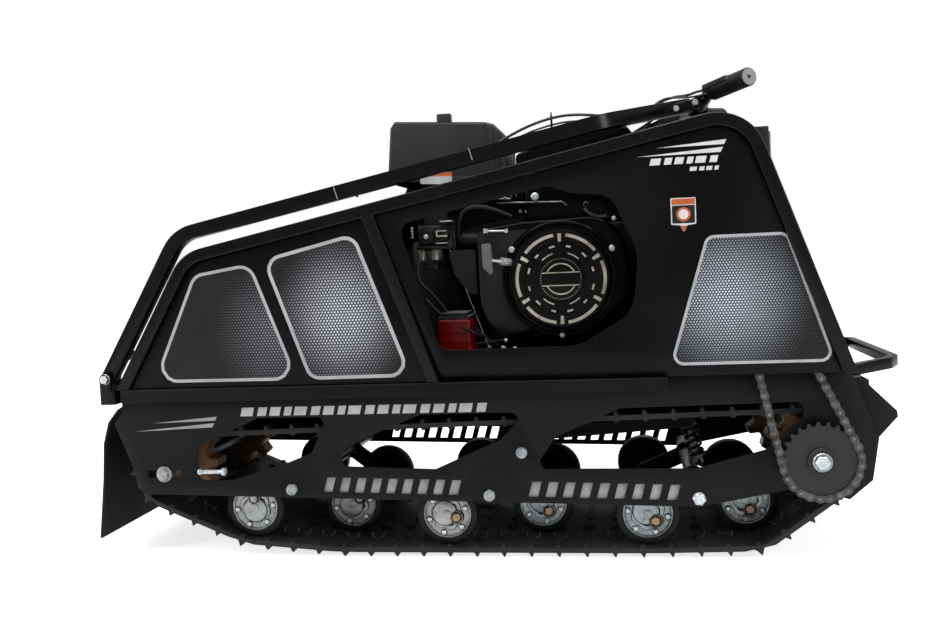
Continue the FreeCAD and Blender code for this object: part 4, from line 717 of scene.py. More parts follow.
CHAIN_LINE, HALF_LINK = -0.295, 0.0072
DRIVE, DRIVE_RADIUS, JACKSHAFT, JACKSHAFT_RADIUS = (0.585, 0.18), 0.0633, (0.502, 0.416), 0.0332
CHAIN_ROUTE = Loop([(*DRIVE, DRIVE_RADIUS), (*JACKSHAFT, JACKSHAFT_RADIUS)])
links = round(CHAIN_ROUTE.length / 0.015875 / 2) * 2
step = CHAIN_ROUTE.length / links
chain_steel = Finish("chain_steel", Metallic=0.5, Specular_IOR_Level=0.4)
oil = chain_steel.noise(60.0, 4.0)
chain_steel.feed(
    Base_Color=chain_steel.shade(chain_steel.spread(oil, 0.35, 0.7), (0.036, 0.035, 0.034), (0.12, 0.116, 0.112)),
    Roughness=chain_steel.spread(oil, 0.3, 0.7, 0.3, 0.5))
CHAIN_STEEL = chain_steel.relief(oil, 0.0003).material
PIN_STEEL = varied("pin_steel", (0.09, 0.09, 0.088), (0.24, 0.24, 0.23), 0.3, 90, 900, metal=0.5)
SPROCKET_STEEL = varied("sprocket_steel", (0.0105, 0.01, 0.01), (0.019, 0.018, 0.018), 0.42, 30, 500, 0.0002,
                        metal=0.2)

waist = []
for end in (1, -1):
    for k in range(9):
        angle = math.radians(180 * k / 8 - 90 * end)
        waist.append((end * step / 2 + HALF_LINK * math.cos(angle), HALF_LINK * math.sin(angle)))
    waist.append((0.0, end * 0.005))
outer_link, inner_link = ([prism("link_plate", waist, y, y + math.copysign(0.0014, y)) for y in (offset, -offset)]
                          for offset in (0.004, 0.0022))
ends = [(-step / 2, 0, 0), (step / 2, 0, 0)]
inner_link += [lathe("roller", ((-0.0022, 0.0042), (0.0022, 0.0042)), 12, end) for end in ends]
pins = [lathe("pin", ((-0.006, 0.0014), (-0.0057, 0.003), (0.0057, 0.003), (0.006, 0.0014)), 12, end) for end in ends]
outer_link, inner_link, pins = (joined("link", parts) for parts in (outer_link, inner_link, pins))
chain, chain_pins = [], []
for n in range(links):
    (a, _), (b, _) = CHAIN_ROUTE.at(n * step), CHAIN_ROUTE.at((n + 1) * step)
    line = b - a
    spot = (Matrix.Translation(((a.x + b.x) / 2, CHAIN_LINE, (a.y + b.y) / 2))
            @ Matrix.Rotation(-math.atan2(line.y, line.x), 4, "Y"))
    chain.append(twin(outer_link if n % 2 else inner_link, "chain_link", spot))
    if n % 2:
        chain_pins.append(twin(pins, "chain_pin", spot))
for part in (outer_link, inner_link, pins):
    bpy.data.objects.remove(part)
finished(joined("roller_chain", chain), CHAIN_STEEL, "chain_steel", "drive_chain", angle=30)
finished(joined("chain_pins", chain_pins), PIN_STEEL, "chain_steel", "drive_chain", angle=30)

wheels = []
for (x, z), teeth, pitch_radius in ((DRIVE, 25, DRIVE_RADIUS), (JACKSHAFT, 13, JACKSHAFT_RADIUS)):
    outline = []
    for k in range(teeth):
        for shift, high in ((-0.36, -0.0034), (-0.24, -0.0014), (-0.12, 0.0034), (0.12, 0.0034), (0.24, -0.0014),
                            (0.36, -0.0034)):
            angle, radius = math.tau * (k + 0.5 + shift) / teeth, pitch_radius + high
            outline.append((x + radius * math.cos(angle), z + radius * math.sin(angle)))
    wheels.append(prism("sprocket", outline, CHAIN_LINE - 0.0018, CHAIN_LINE + 0.0018))
wheels.append(lathe("hub", ((0.0, 0.0235), (-0.005, 0.0235), (-0.0062, 0.0225), (-0.0062, 0.0185), (-0.0052, 0.0178)),
                    40, (DRIVE[0], CHAIN_LINE - 0.0016, DRIVE[1])))
finished(joined("chain_wheels", wheels), SPROCKET_STEEL, "chain_steel", "chain_sprockets", angle=30)
axle_end = bolt("drive_axle_bolt", (((0.0, 0.0158), (-0.005, 0.0158), (-0.0056, 0.0152)), 36),
                (((-0.0056, 0.0124), (-0.0096, 0.0124), (-0.0108, 0.0108)), 6),
                (((-0.0106, 0.0062), (-0.0113, 0.0056)), 20))
finished(placed(axle_end, DRIVE[0], CHAIN_LINE - 0.0064, DRIVE[1]), BRIGHT_ZINC, "zinc_steel", angle=25)

# --- hinge bolts ---
# The drawbar turns on a zinc hex bolt through each rear bracket.

hinge_bolt = bolt("hinge_bolts", (((0.0, 0.0098), (-0.0016, 0.0098), (-0.002, 0.0094)), 28),
                  (((-0.002, 0.0084), (-0.006, 0.0084), (-0.007, 0.0074)), 6))
finished(pair(placed(hinge_bolt, -0.6935, -0.2946, 0.348), "hinge_bolts"), BRIGHT_ZINC, "zinc_steel", angle=25)

# --- engine, seen through the window ---
# A single-cylinder engine with its recoil starter outward: black shroud with a grey side sheet, round
# starter cover with curved openings, pull handle, carburettor, hoses, rods and small fixings.


def arc(x, z, radius, first, last, count=10):
    """Points of an arc in x and z, angles in degrees."""
    turns = [math.radians(first + (last - first) * n / count) for n in range(count + 1)]
    return [(x + radius * math.cos(turn), z + radius * math.sin(turn)) for turn in turns]


def band(outer, inner, first, last, count, faces):
    """A flat strip that follows an arc round the starter's middle."""
    return prism("band", arc(0, 0, outer, first, last, count) + arc(0, 0, inner, last, first, count), *faces)


def rod(start, end, radius, sides=10, ends=0.0):
    """A straight round bar between two points, its ends softened."""
    start, end = Vector(start), Vector(end)
    piece = fresh("rod", bpy.ops.mesh.primitive_cylinder_add, vertices=sides, radius=radius,
                  depth=(end - start).length)
    if ends:
        eased(piece, ends, angle=50)
    turn = (end - start).to_track_quat("Z", "Y").to_matrix().to_4x4()
    piece.data.transform(Matrix.Translation((start + end) / 2) @ turn)
    return piece


def block(low, high, edge=0.0, segments=2):
    """A box between two corners with rounded edges."""
    low, high = Vector(low), Vector(high)
    piece = fresh("block", bpy.ops.mesh.primitive_cube_add, size=1, location=(low + high) / 2, scale=high - low)
    bpy.ops.object.transform_apply(location=True, rotation=False, scale=True)
    return eased(piece, edge, segments, 30) if edge else piece


GLOSS_BLACK = varied("gloss_black_plastic", (0.0008, 0.0008, 0.001), (0.002, 0.002, 0.0022), 0.22, 8, 800, 0.00004,
                     level=0.09)
ENGINE_BLACK = varied("engine_black", (0.002, 0.002, 0.0021), (0.005, 0.0049, 0.0048), 0.5, 20, 400, 0.0002,
                      level=0.15)
MATTE_BLACK = varied("matte_black_plastic", (0.0055, 0.0055, 0.006), (0.0095, 0.0095, 0.01), 0.5, 12, 900,
                     level=0.25)
SHROUD_GREY = varied("shroud_grey", (0.014, 0.013, 0.014), (0.022, 0.021, 0.022), 0.4, 12, 700,
                     level=0.2)
HANDLE_GREY = varied("handle_grey", (0.115, 0.118, 0.128), (0.18, 0.184, 0.196), 0.4, 30, 700,
                     level=0.3)
STARTER_BLACK = varied("starter_black", (0.003, 0.0029, 0.0028), (0.006, 0.0058, 0.0056), 0.3, 20, 700,
                       level=0.12)
TAN_METAL = varied("tan_metal", (0.4, 0.35, 0.28), (0.74, 0.68, 0.6), 0.3, 40, 700, metal=0.3)
CARB_METAL = varied("carburettor_metal", 0.006, (0.034, 0.032, 0.031), 0.3, 70, 600, 0.0003, metal=0.4)
JET_METAL = varied("jet_metal", (0.012, 0.008, 0.006), (0.05, 0.03, 0.022), 0.35, 60, 700, metal=0.4)
HOSE_RUBBER = varied("hose_rubber", 0.0025, 0.006, 0.5, 14, 900, 0.00006, level=0.25)
ROD_STEEL = varied("rod_steel", 0.05, 0.22, 0.3, 60, 900, metal=0.5)
DUCT_METAL = varied("duct_metal", (0.05, 0.045, 0.038), (0.16, 0.145, 0.125), 0.4, 60, 700, 0.0002)

rounded(0.006, ENGINE_BLACK, "engine_block", slot="engine_black", segments=3)
rounded(0.007, GLOSS_BLACK, "fan_shroud", slot="gloss_black_plastic", segments=4)
rounded(0.001, MATTE_BLACK, "intake_pipes", slot="matte_black_plastic")
rounded(0.002, MATTE_BLACK, "belt_guard", slot="matte_black_plastic")

CX, CZ, SHROUD_FACE = 0.158, 0.5, -0.2016
side_sheet = prism("shroud_side", [(0.0072, 0.59), (0.0078, 0.478), *arc(0.11, 0.478, 0.102, 180, 232, 8),
                                   *arc(CX, CZ, 0.1085, 236, 122, 14)], SHROUD_FACE, SHROUD_FACE - 0.0026)
finished(eased(side_sheet, 0.001), SHROUD_GREY, "engine_black")
housing = placed(turned("housing_rim", (
    (SHROUD_FACE, 0.0985), (-0.2085, 0.0985), (-0.2098, 0.1), (-0.2098, 0.103), (-0.2085, 0.1046),
    (SHROUD_FACE, 0.1046)), 72), CX, 0, CZ)
finished(housing, GLOSS_BLACK, "gloss_black_plastic", "fan_shroud")

cover = [lathe("recoil_cover_body", (
    (SHROUD_FACE, 0.091), (-0.219, 0.091), (-0.2225, 0.0895), (-0.2235, 0.087), (-0.2262, 0.0855), (-0.2262, 0.0655),
    (-0.2235, 0.064), (-0.2235, 0.042), (-0.2262, 0.041), (-0.227, 0.0395)), 96)]
for angle in range(30, 360, 60):
    cover.append(prism("spoke", ((0.04, -0.0048), (0.068, -0.0042), (0.068, 0.0042), (0.04, 0.0048)),
                       -0.2258, -0.223))
    cover[-1].data.transform(Matrix.Rotation(math.radians(angle), 4, "Y"))
finished(placed(joined("recoil_cover_body", cover), CX, 0, CZ), STARTER_BLACK, "gloss_black_plastic", "recoil_cover",
         angle=30)

RIM, STEP, HUB = (-0.2268, -0.225), (-0.2246, -0.2232), (-0.2274, -0.2268)
strips = []
for middle in range(0, 360, 60):
    strips.append(band(0.0815, 0.0758, middle - 22, middle + 22, 12, RIM))
    strips.append(prism("bar", ((0.0665, -0.0026), (0.081, -0.0034), (0.081, 0.0034), (0.0665, 0.0026)),
                        -0.227, -0.224))
    strips[-1].data.transform(Matrix.Rotation(-math.radians(middle + 30), 4, "Y"))
    strips.append(band(0.061, 0.0575, middle - 21, middle - 11, 3, STEP))
    strips.append(band(0.061, 0.0575, middle + 11, middle + 19, 3, STEP))
    if middle % 180:
        strips.append(band(0.0485, 0.0462, middle - 13, middle + 13, 5, STEP))
for first, last in ((28, 152), (208, 332)):
    strips.append(band(0.0285, 0.0262, first, last, 14, HUB))
for z in (-0.0125, 0.0105):
    strips.append(prism("hub_bar", ((-0.035, z), (0.035, z), (0.035, z + 0.0018), (-0.035, z + 0.0018)), *HUB))
for k in range(48):
    strips.append(band(0.0368, 0.0358, 7.5 * k + 2.25, 7.5 * k + 5.25, 1, HUB))
finished(placed(joined("starter_strips", strips), CX, 0, CZ), TAN_METAL, "cast_alloy", angle=30)

flange_bolt = bolt("flange_bolt", (((0.0, 0.0078), (-0.0014, 0.0078), (-0.0022, 0.0066)), 24),
                   (((-0.002, 0.0056), (-0.0064, 0.0056), (-0.0072, 0.0046)), 6))
bolts = [twin(flange_bolt, "engine_bolt",
              Matrix.Translation(spot) @ Matrix.Rotation(0.5 * k, 4, "Y") @ Matrix.Scale(size, 4))
         for k, (*spot, size) in enumerate((
             (0.0697, -0.2094, 0.556, 0.7), (0.2499, -0.2094, 0.551, 0.72), (0.156, -0.2094, 0.3975, 0.62),
             (0.2554, -0.202, 0.6043, 0.5), (0.11, -0.142, 0.653, 0.95), (-0.0997, -0.146, 0.5875, 0.85),
             (0.0513, -0.205, 0.391, 0.42), (0.0673, -0.205, 0.3757, 0.46), (0.046, -0.205, 0.377, 0.5)))]
bpy.data.objects.remove(flange_bolt)
finished(joined("engine_bolts", bolts), BRIGHT_ZINC, "zinc_steel", angle=30)

handle = prism("pull_handle", ((0.0195, 0.5677), (0.0326, 0.5695), (0.0357, 0.5642), (0.0371, 0.5149),
                               (0.0323, 0.5132), (0.02, 0.5267)), -0.246, -0.222, 0.002)
finished(eased(handle, 0.0022, 3), HANDLE_GREY, "grey_paint")
finished(joined("rope_guide", [
    rod((0.033, -0.234, 0.5385), (0.056, -0.226, 0.535), 0.0028, 12),
    rod((0.052, -0.228, 0.536), (0.066, -0.208, 0.533), 0.0068, 20, 0.0012),
    rod((0.021, -0.207, 0.592), (0.062, -0.207, 0.5905), 0.0018),
    rod((0.019, -0.207, 0.592), (0.027, -0.207, 0.5917), 0.0044, 8, 0.0008),
    rod((0.058, -0.207, 0.5906), (0.064, -0.207, 0.5904), 0.004, 8, 0.0008)]), BRIGHT_ZINC, "zinc_steel", angle=30)

finished(joined("carburettor_body", [
    block((-0.118, -0.14, 0.562), (-0.044, -0.086, 0.61), 0.005),
    lathe("mouth", ((-0.15, 0.013), (-0.139, 0.015)), 28, (-0.0995, 0, 0.5875)),
    lathe("choke", ((-0.148, 0.009), (-0.139, 0.012)), 28, (-0.066, 0, 0.5885)),
    block((-0.05, -0.144, 0.556), (-0.044, -0.084, 0.616), 0.002),
    block((-0.12, -0.15, 0.564), (-0.06, -0.09, 0.57), 0.002)]), CARB_METAL, "cast_alloy", "carburettor")
finished(joined("carburettor_fittings", [
    rod((-0.115, -0.118, 0.5425), (-0.115, -0.118, 0.5655), 0.007, 28, 0.002),
    rod((-0.0885, -0.116, 0.5425), (-0.0885, -0.116, 0.5665), 0.014, 32, 0.003),
    block((-0.072, -0.152, 0.614), (-0.048, -0.138, 0.617), 0.001),
    block((-0.078, -0.153, 0.5962), (-0.06, -0.14, 0.5985), 0.0008),
    block((-0.08, -0.153, 0.5862), (-0.058, -0.14, 0.5892), 0.0008),
    block((-0.08, -0.153, 0.587), (-0.0775, -0.14, 0.598), 0.0008),
    block((-0.082, -0.153, 0.5735), (-0.058, -0.14, 0.5755), 0.0007),
    *(lathe("spring_turn", ((-0.1505, 0.0016), (-0.148, 0.0026), (-0.1455, 0.0016)), 12,
            (-0.1265, 0, 0.588 + 0.0056 * n)) for n in range(4))]), TAN_METAL, "cast_alloy")
finished(joined("jet_block", [block((-0.112, -0.135, 0.5255), (-0.082, -0.105, 0.5375), 0.003),
                              rod((-0.073, -0.116, 0.529), (-0.073, -0.116, 0.537), 0.006, 6)]),
         JET_METAL, "cast_alloy")
finished(prism("engine_stay", ((-0.053, 0.551), (-0.046, 0.56), (-0.004, 0.56), (-0.002, 0.474), (-0.018, 0.479),
                               (-0.045, 0.515)), -0.17, -0.167, 0.006), SHROUD_GREY, "engine_black")

# breather, fuel line and three wires
finished(joined("engine_hoses", [tube("hose", points, radius) for radius, points in (
    (0.0045, ((-0.036, -0.15, 0.585), (-0.034, -0.158, 0.618), (-0.014, -0.168, 0.64), (0.03, -0.17, 0.636),
              (0.066, -0.16, 0.617))),
    (0.0035, ((-0.115, -0.15, 0.543), (-0.12, -0.165, 0.505), (-0.085, -0.176, 0.48), (-0.06, -0.17, 0.44))),
    (0.0026, ((-0.1, -0.175, 0.47), (-0.08, -0.195, 0.452), (-0.05, -0.215, 0.428), (-0.012, -0.236, 0.415),
              (0.01, -0.215, 0.4))),
    (0.0022, ((-0.03, -0.15, 0.425), (0.0, -0.205, 0.412), (0.028, -0.2, 0.384), (0.05, -0.19, 0.374))),
    (0.002, ((-0.01, -0.205, 0.385), (0.02, -0.207, 0.388), (0.048, -0.205, 0.392))))]),
         HOSE_RUBBER, "matte_black_plastic", angle=60)

# governor rod and its hook, lever, link, low rod, spring ends, two knobs and a ring
finished(joined("throttle_rods", [
    rod((0.0375, -0.142, 0.645), (0.16, -0.142, 0.641), 0.0018),
    rod((0.16, -0.142, 0.641), (0.168, -0.142, 0.634), 0.0018),
    rod((0.034, -0.145, 0.653), (0.064, -0.145, 0.651), 0.0022),
    rod((0.04, -0.15, 0.659), (0.058, -0.15, 0.652), 0.0016),
    rod((-0.034, -0.148, 0.642), (0.02, -0.148, 0.64), 0.0016),
    rod((0.066, -0.147, 0.655), (0.068, -0.147, 0.667), 0.0011, 8),
    rod((0.076, -0.147, 0.655), (0.074, -0.147, 0.667), 0.0011, 8),
    rod((0.068, -0.147, 0.667), (0.074, -0.147, 0.667), 0.0011, 8),
    rod((0.082, -0.15, 0.627), (0.082, -0.138, 0.627), 0.0034, 20, 0.001),
    rod((0.092, -0.15, 0.626), (0.092, -0.138, 0.626), 0.0026, 20, 0.001),
    placed(turned("ring", ((-0.003, 0.0034), (0, 0.003), (0.003, 0.0034), (0, 0.0052)), 24), 0.204, -0.144, 0.634)]),
         ROD_STEEL, "zinc_steel", angle=30)
finished(prism("cooling_duct", arc(0.232, 0.648, 0.04, 215, 285, 8) + arc(0.232, 0.648, 0.035, 285, 215, 8),
               -0.16, -0.146), DUCT_METAL, "cast_alloy")

RED = varied("red_plastic", (0.085, 0.0006, 0.0008), (0.24, 0.0016, 0.0018), 0.28, 18, 300, swing=(0.0, 0.14),
             details=(3.0, 3.0), level=0.25)
finished(joined("battery_case", [
    block((-0.07, -0.23, 0.33), (-0.009, -0.142, 0.434), 0.006, 3),
    *(block((-0.066, -0.2312, z), (-0.013, -0.229, z + 0.002), 0.0006)
      for z in (0.3445, 0.3605, 0.3765, 0.3925, 0.4085))]), RED, "red_plastic", "battery_box")
finished(joined("battery_lid", [block((-0.069, -0.226, 0.4335), (-0.01, -0.146, 0.4395), 0.002),
                                block((-0.064, -0.221, 0.439), (-0.016, -0.15, 0.4455), 0.002)]),
         SHROUD_GREY, "matte_black_plastic")

# --- exhaust ---
# A rounded silencer box of dark sheet steel with a seam and a short outlet, behind the engine.

HOT_STEEL = varied("dark_steel", (0.03, 0.026, 0.023), (0.075, 0.064, 0.055), 0.5, 14, 300, 0.0004, metal=0.5)
finished(joined("muffler_shell", [
    block((0.08, 0.04, 0.6), (0.25, 0.135, 0.68), 0.018, 4),
    block((0.078, 0.0855, 0.606), (0.25, 0.0895, 0.6806), 0.0016),
    rod((0.225, 0.1, 0.66), (0.225, 0.1, 0.692), 0.011, 28, 0.001)]), HOT_STEEL, "dark_steel", "muffler")

# --- fuel tank ---
# A black tank on its cowl over the engine block, with a filler neck and a round screw cap.

rounded(0.008, GLOSS_BLACK, "fuel_tank", slot="matte_black_plastic", segments=3)
finished(joined("tank_fittings", [
    rod((0.19, -0.02, 0.762), (0.188, -0.02, 0.776), 0.024, 36, 0.002),
    rod((0.188, -0.02, 0.774), (0.1862, -0.02, 0.788), 0.029, 24, 0.003)]), GLOSS_BLACK, "matte_black_plastic")

# --- air filter ---
# A rounded black plastic box above the rear cover, on a sheet steel bracket: clip tab on top, a moulded
# step and rib near its front end, and a plain two-colour sticker low on its side.

filter_case = [
    eased(prism("filter_case", ((-0.17, 0.692), (-0.16, 0.796), (-0.151, 0.8085), (0.02, 0.7975), (0.038, 0.7925),
                                (0.052, 0.778), (0.06, 0.766), (0.06, 0.692)), -0.15, 0.015, 0.006), 0.006, 4, 50),
    prism("rib", ((0.021, 0.694), (0.025, 0.694), (0.025, 0.7935), (0.021, 0.794)), -0.1512, -0.149),
    eased(prism("rib", ((0.0415, 0.694), (0.0455, 0.694), (0.0455, 0.778), (0.0415, 0.785)), -0.154, -0.149),
          0.0016, 3, 30),
    block((-0.069, -0.149, 0.798), (-0.043, -0.128, 0.8172), 0.0015),
    block((-0.168, -0.1512, 0.692), (0.059, 0.015, 0.698), 0.0012)]
FILTER_PLASTIC = varied("filter_plastic", (0.0135, 0.0135, 0.014), (0.0215, 0.0215, 0.022), 0.46, 9, 900, 0.00012,
                        level=0.3)
finished(joined("filter_case", filter_case), FILTER_PLASTIC, "matte_black_plastic", "air_filter_box")
finished(prism("filter_bracket", ((-0.196, 0.572), (-0.19, 0.64), (-0.165, 0.694), (0.06, 0.694), (0.088, 0.68),
                                  (0.088, 0.63)), 0.004, 0.007, 0.005), INNER_COAT, "black_paint")

WHITE_FILM = varied("white_film", 0.62, (0.8, 0.8, 0.79), 0.45, 30, 500, 0.00004)
ORANGE_FILM = varied("orange_film", (0.42, 0.085, 0.02), (0.56, 0.13, 0.035), 0.45, 30, 500, 0.00004)
SILVER_FILM = varied("silver_film", (0.39, 0.39, 0.4), (0.53, 0.53, 0.54), 0.4, 30, 500, 0.00004)

for name, film, outline in (
        ("filter_sticker", SILVER_FILM, ((-0.105, 0.688), (-0.044, 0.684), (-0.044, 0.6995), (-0.105, 0.7015))),
        ("filter_sticker_band", ORANGE_FILM,
         ((-0.092, 0.7008), (-0.044, 0.6995), (-0.044, 0.707), (-0.092, 0.7085)))):
    finished(prism(name, outline, -0.152, -0.1512), film, "grey_paint")

# --- side markings ---
# Plain vinyl shapes: slanted bars and a pair of tapered stripes, along the plate and under the hoop, and
# a small shield with an orange head. Both sides are alike.


def bars(name, start, end, count, slant, face, widths=(1.0, 0.72, 0.86, 0.6)):
    """A row of slanted bars between two points, of varied width."""
    start, end, slant = Vector(start), Vector(end), Vector(slant)
    shares = [widths[k % len(widths)] for k in range(count)]
    pieces = []
    for k, share in enumerate(shares):
        a, b = (start.lerp(end, (sum(shares[:k]) + part) / sum(shares)) for part in (0.0, share * 0.72))
        pieces.append(prism("bar", (a, b, b + slant, a + slant), face - FILM, face + 0.0001))
    return joined(name, pieces)


def box(left, right, low, high):
    """A rectangle's outline."""
    return (left, high), (right, high), (right, low), (left, low)


PLATE, PANEL, OVER, DISC = (-0.2709, -0.2704), (-0.3104, -0.3099), (-0.3106, -0.3101), (0.371, 0.6015)
SHIELD = ((0.3505, 0.629), (0.3915, 0.629), (0.3915, 0.585), (0.377, 0.5835), (0.371, 0.5705), (0.365, 0.5835),
          (0.3505, 0.585))
for piece, film in (
        (bars("plate_bars", (-0.4414, 0.2702), (0.0242, 0.2704), 18, (0.004, 0.016), -0.2705), WHITE_FILM),
        (prism("plate_stripe_low", ((-0.65, 0.245), (-0.498, 0.2505), (-0.494, 0.2585)), *PLATE), SILVER_FILM),
        (prism("plate_stripe_high", ((-0.615, 0.26), (-0.492, 0.263), (-0.488, 0.2705)), *PLATE), SILVER_FILM),
        (prism("panel_stripe_low", ((0.296, 0.7), (0.434, 0.701), (0.438, 0.709)), *PANEL), WHITE_FILM),
        (prism("panel_stripe_high", ((0.33, 0.713), (0.44, 0.7135), (0.444, 0.7215)), *PANEL), WHITE_FILM),
        (bars("panel_bars", (0.318, 0.685), (0.432, 0.685), 6, (0.003, 0.011), PANEL_FACE), WHITE_FILM),
        (bars("panel_bars_small", (0.383, 0.6725), (0.432, 0.6725), 4, (0.0016, 0.0065), PANEL_FACE), WHITE_FILM),
        (prism("shield", SHIELD, -0.3103, -0.3099, 0.002), WHITE_FILM),
        (prism("shield_head", box(0.352, 0.39, 0.618, 0.6275), *OVER, 0.0012), ORANGE_FILM),
        (prism("shield_field", box(0.3525, 0.3895, 0.587, 0.6165), *OVER, 0.0015), MATTE_BLACK),
        (prism("shield_ring", arc(*DISC, 0.0118, 0, 345, 23), -0.3109, -0.3104), ORANGE_FILM),
        (prism("shield_disc", arc(*DISC, 0.0082, 0, 345, 23), -0.3111, -0.3106), WHITE_FILM),
        (prism("shield_foot", ((0.3655, 0.5826), (0.3765, 0.5826), (0.371, 0.5725)), *OVER), ORANGE_FILM)):
    both_sides(piece, film, "grey_paint")
rounded(0.0003, SILVER_FILM, "slot_inserts", slot="grey_paint")

# --- headlight ---
# A square lamp in the nose: bezel round a clear lens with upright flutes.

rounded(0.003, MATTE_BLACK, "headlight_housing", slot="matte_black_plastic", segments=3)
lens = Finish("lens_plastic", Specular_IOR_Level=0.6, Coat_Weight=0.6, Coat_Roughness=0.05)
wave = lens.place(1) * 700.0
flute = wave.math("SINE", wave)
# Painted highlight and shade: the lens colour is striped lighter and darker along the flutes.
lens.feed(Base_Color=lens.shade(flute * 0.5 + 0.5, (0.09, 0.095, 0.1), (0.24, 0.25, 0.26)),
          Roughness=lens.noise(60.0) * 0.1 + 0.06)
rounded(0.0012, lens.relief(flute, 0.0004).material, "headlight_lens", slot="lens_plastic")

# --- handlebar, grips and levers ---
# Round bar clamped on the drawbar's bow, ribbed rubber grips with a flange and a plain grey end cap,
# and small thumb levers whose clamp rings sit just inside the grips.

ARM = {"body": "drawbar_assembly"}
LEVER_BLACK = varied("lever_black", 0.008, 0.02, 0.3, 40, 600, metal=0.3)
GRIP_RUBBER = varied("grip_rubber", 0.0045, 0.01, 0.6, 20, 900, 0.0002, level=0.25)
GRIP_CAP = varied("grip_cap", 0.16, 0.26, 0.5, 30, 900)
rounded(0.0006, TUBE_COAT, "handlebar", **ARM)
rounded(0.0015, TUBE_COAT, "handlebar_clamp", **ARM)
rounded(0.0008, LEVER_BLACK, "control_levers", slot="cast_alloy", **ARM)

ribbed = [(0.0, 0.0112), (0.0, 0.015), (0.002, 0.016), (0.0045, 0.016), (0.006, 0.015)]
for n in range(17):
    foot = 0.0068 + 0.0046 * n
    ribbed += [(foot, 0.015), (foot + 0.001, 0.0159), (foot + 0.003, 0.0159), (foot + 0.004, 0.015)]
ribbed += [(0.087, 0.015), (0.088, 0.016), (0.09, 0.016), (0.09, 0.0112)]
tip, inner = Vector((0.49, -0.25, 0.83)), Vector((0.431, -0.15, 0.821))
along = Matrix.Translation(tip) @ (inner - tip).to_track_quat("Y", "Z").to_matrix().to_4x4()
for part, finish in (
        (turned("grip", ribbed, 32), GRIP_RUBBER),
        (lathe("grip_end", ((0.0004, 0.0108), (-0.0002, 0.0142), (-0.0002, 0.004), (0.0022, 0.0032)), 32), GRIP_CAP),
        (lathe("grip_drain", ((0.0002, 0.003), (-0.0004, 0.0028)), 16), MATTE_BLACK)):
    part.data.transform(along)
    both_sides(part, finish, "grip_rubber", "handle_grips", angle=30, **ARM)

# --- rubber flap ---
# A reinforced rubber sheet hung from the hitch plate, clamped by four bolts through a steel strip.

FLAP_RUBBER = varied("flap_rubber", (0.004, 0.004, 0.0045), (0.009, 0.009, 0.0095), 0.6, 10, 700, 0.0002,
                     level=0.25)
rounded(0.0012, FLAP_RUBBER, "mud_flap", slot="track_rubber")
down, out = Vector((-0.64, 0, -0.768)), Vector((-0.768, 0, 0.64))
top = Vector((-0.69, 0, 0.286))
strip = [top + down * a + out * b for a, b in ((0.003, 0.0), (0.026, 0.0), (0.026, 0.0026), (0.003, 0.0026))]
finished(eased(prism("flap_strip", [(p.x, p.z) for p in strip], -0.252, 0.252), 0.0006, angle=30), PLATE_COAT,
         "black_paint")
flap_bolts = []
for y in (-0.215, -0.075, 0.075, 0.215):
    seat = top + down * 0.0145 + out * 0.0022 + Vector((0, y, 0))
    flap_bolts += [rod(seat, seat + out * 0.0018, 0.0098, 24, 0.0004),
                   rod(seat + out * 0.0016, seat + out * 0.0068, 0.0076, 6, 0.0008)]
finished(joined("flap_bolts", flap_bolts), BRIGHT_ZINC, "zinc_steel", angle=30)

# --- handlebar stays, cable ties and cable boots ---
# A flat stay from each side of the bow to the handlebar, ties that hold the two cables together, and
# a rubber boot on the inner side of each arm where the cables go in.

stay = prism("handlebar_stay", (
    (0.35, 0.79), (0.37, 0.7925), (0.398, 0.7985), (0.426, 0.803), (0.4375, 0.812), (0.437, 0.8235), (0.426, 0.829),
    (0.414, 0.8225), (0.398, 0.8155), (0.372, 0.8115), (0.352, 0.807)), -0.119, -0.105, 0.003)
stay_bolts = [lathe("head", ((0.0, 0.0062), (-0.004, 0.0062), (-0.005, 0.005)), 6, (x, -0.119, z))
              for x, z in ((0.374, 0.8015), (0.409, 0.811))]
ties = []
for x, y, z, high, tail in ((0.1545, -0.2604, 0.7754, 2.1, 0.015), (0.23, -0.234, 0.776, 2.0, 0.0),
                            (-0.2, -0.2604, 0.674, 2.2, 0.016)):
    tie = turned("tie", ((-0.0016, 0.0041), (0.0016, 0.0041), (0.0016, 0.0052), (-0.0016, 0.0052)), 24)
    tie.data.transform(Matrix.Translation((x, y, z)) @ Matrix.Rotation(math.radians(90), 4, "Z")
                       @ Matrix.Scale(high, 4, (0, 0, 1)))
    ties.append(tie)
    if tail:
        ties.append(block((x - 0.0012, -0.265, z + 0.008), (x + 0.0012, -0.264, z + tail), 0.0003))
boot = block((-0.011, -0.2626, -0.0125), (0.011, -0.2555, 0.011), 0.0025, 3)
boot.data.transform(Matrix.Translation((-0.666, 0, 0.3945)) @ Matrix.Rotation(math.radians(-59), 4, "Y"))
# Painted highlight: a thin silver strip on each side of the drawbar at its two joints stands for the light caught
# there.
painted_light_and_shade_lines = [prism("painted_line", ((x, z), (x + 0.0013, z), (x + 0.0075, z - 0.0215), (x + 0.0062, z - 0.0215)),
               -0.2877, -0.2873) for x, z in ((-0.2358, 0.6812), (0.0101, 0.7352))]
for parts, name, finish, slot in (
        ([eased(stay, 0.002, 3, 50)], "handlebar_stays", TUBE_COAT, "black_paint"),
        (stay_bolts, "stay_bolts", BRIGHT_ZINC, "zinc_steel"),
        (ties, "cable_ties", MATTE_BLACK, "matte_black_plastic"),
        ([boot], "cable_boots", GRIP_RUBBER, "grip_rubber"),
        (painted_light_and_shade_lines, "drawbar_painted_highlights", SILVER_FILM, "grey_paint")):
    finished(pair(joined("part", parts), name), finish, slot, angle=30, **ARM)

# --- studio ---
# A plain white floor that keeps a faint shadow, soft lamps above, behind and at both ends, and white
# around. Gloss shows a third of that white.

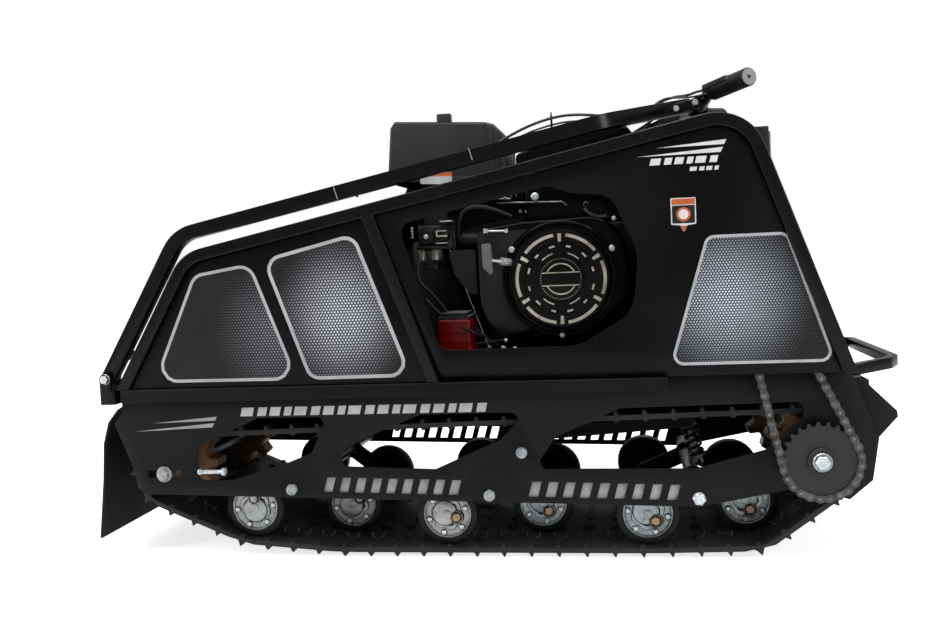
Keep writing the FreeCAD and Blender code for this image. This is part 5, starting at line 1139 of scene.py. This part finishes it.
MIRRORED = 0.35
floor = fresh("studio_floor", bpy.ops.mesh.primitive_plane_add, size=60, location=(0, 0, -0.0006))
pale = Finish("studio_floor", Roughness=0.9, Specular_IOR_Level=0.0, Emission_Strength=1.0)
seen = (pale.node("ShaderNodeLightPath", output="Is Camera Ray")
        + pale.node("ShaderNodeLightPath", output="Is Glossy Ray") * MIRRORED)
across, along = pale.place(0) / 1.25, pale.place(1)
near = pale.spread((across * across + along * along) ** 0.5, 0.75, 1.15, 0.78, 1.0)
pale.feed(Base_Color=pale.shade(pale.noise(3.0), 0.8, 0.82), Emission_Color=pale.shade(seen * near, 0.0, 1.0))
floor.data.materials.append(pale.material)

world = bpy.data.worlds.new("studio")
bpy.context.scene.world = world
world.use_nodes = True
tree = world.node_tree
path = tree.nodes.new("ShaderNodeLightPath")
seen = tree.nodes.new("ShaderNodeMath")
seen.operation = "MULTIPLY_ADD"
tree.links.new(path.outputs["Is Glossy Ray"], seen.inputs[0])
seen.inputs[1].default_value = MIRRORED
tree.links.new(path.outputs["Is Camera Ray"], seen.inputs[2])
strength = tree.nodes.new("ShaderNodeMapRange")
strength.inputs["To Min"].default_value = 0.16
tree.links.new(seen.outputs[0], strength.inputs["Value"])
tree.links.new(strength.outputs[0], tree.nodes["Background"].inputs["Strength"])
tree.nodes["Background"].inputs["Color"].default_value = (1, 1, 1, 1)

for name, place, aim, size, watts in (
        ("top_lamp", (0.0, -0.9, 3.0), (0, 0, 0.4), (3.4, 1.2), 90),
        ("front_lamp", (3.0, -2.0, 1.7), (0.2, 0, 0.4), (0.9, 1.8), 46),
        ("rear_lamp", (-3.0, -1.6, 1.9), (-0.2, 0, 0.4), (0.9, 1.8), 50),
        ("far_lamp", (0.3, 2.4, 2.6), (0, 0, 0.4), (2.6, 1.0), 45)):
    data = bpy.data.lights.new(name, "AREA")
    data.shape, data.size, data.size_y, data.energy = "RECTANGLE", *size, watts
    holder = bpy.data.objects.new(name, data)
    bpy.context.scene.collection.objects.link(holder)
    holder.location = place
    holder.rotation_euler = (Vector(aim) - Vector(place)).to_track_quat("-Z", "Y").to_euler()
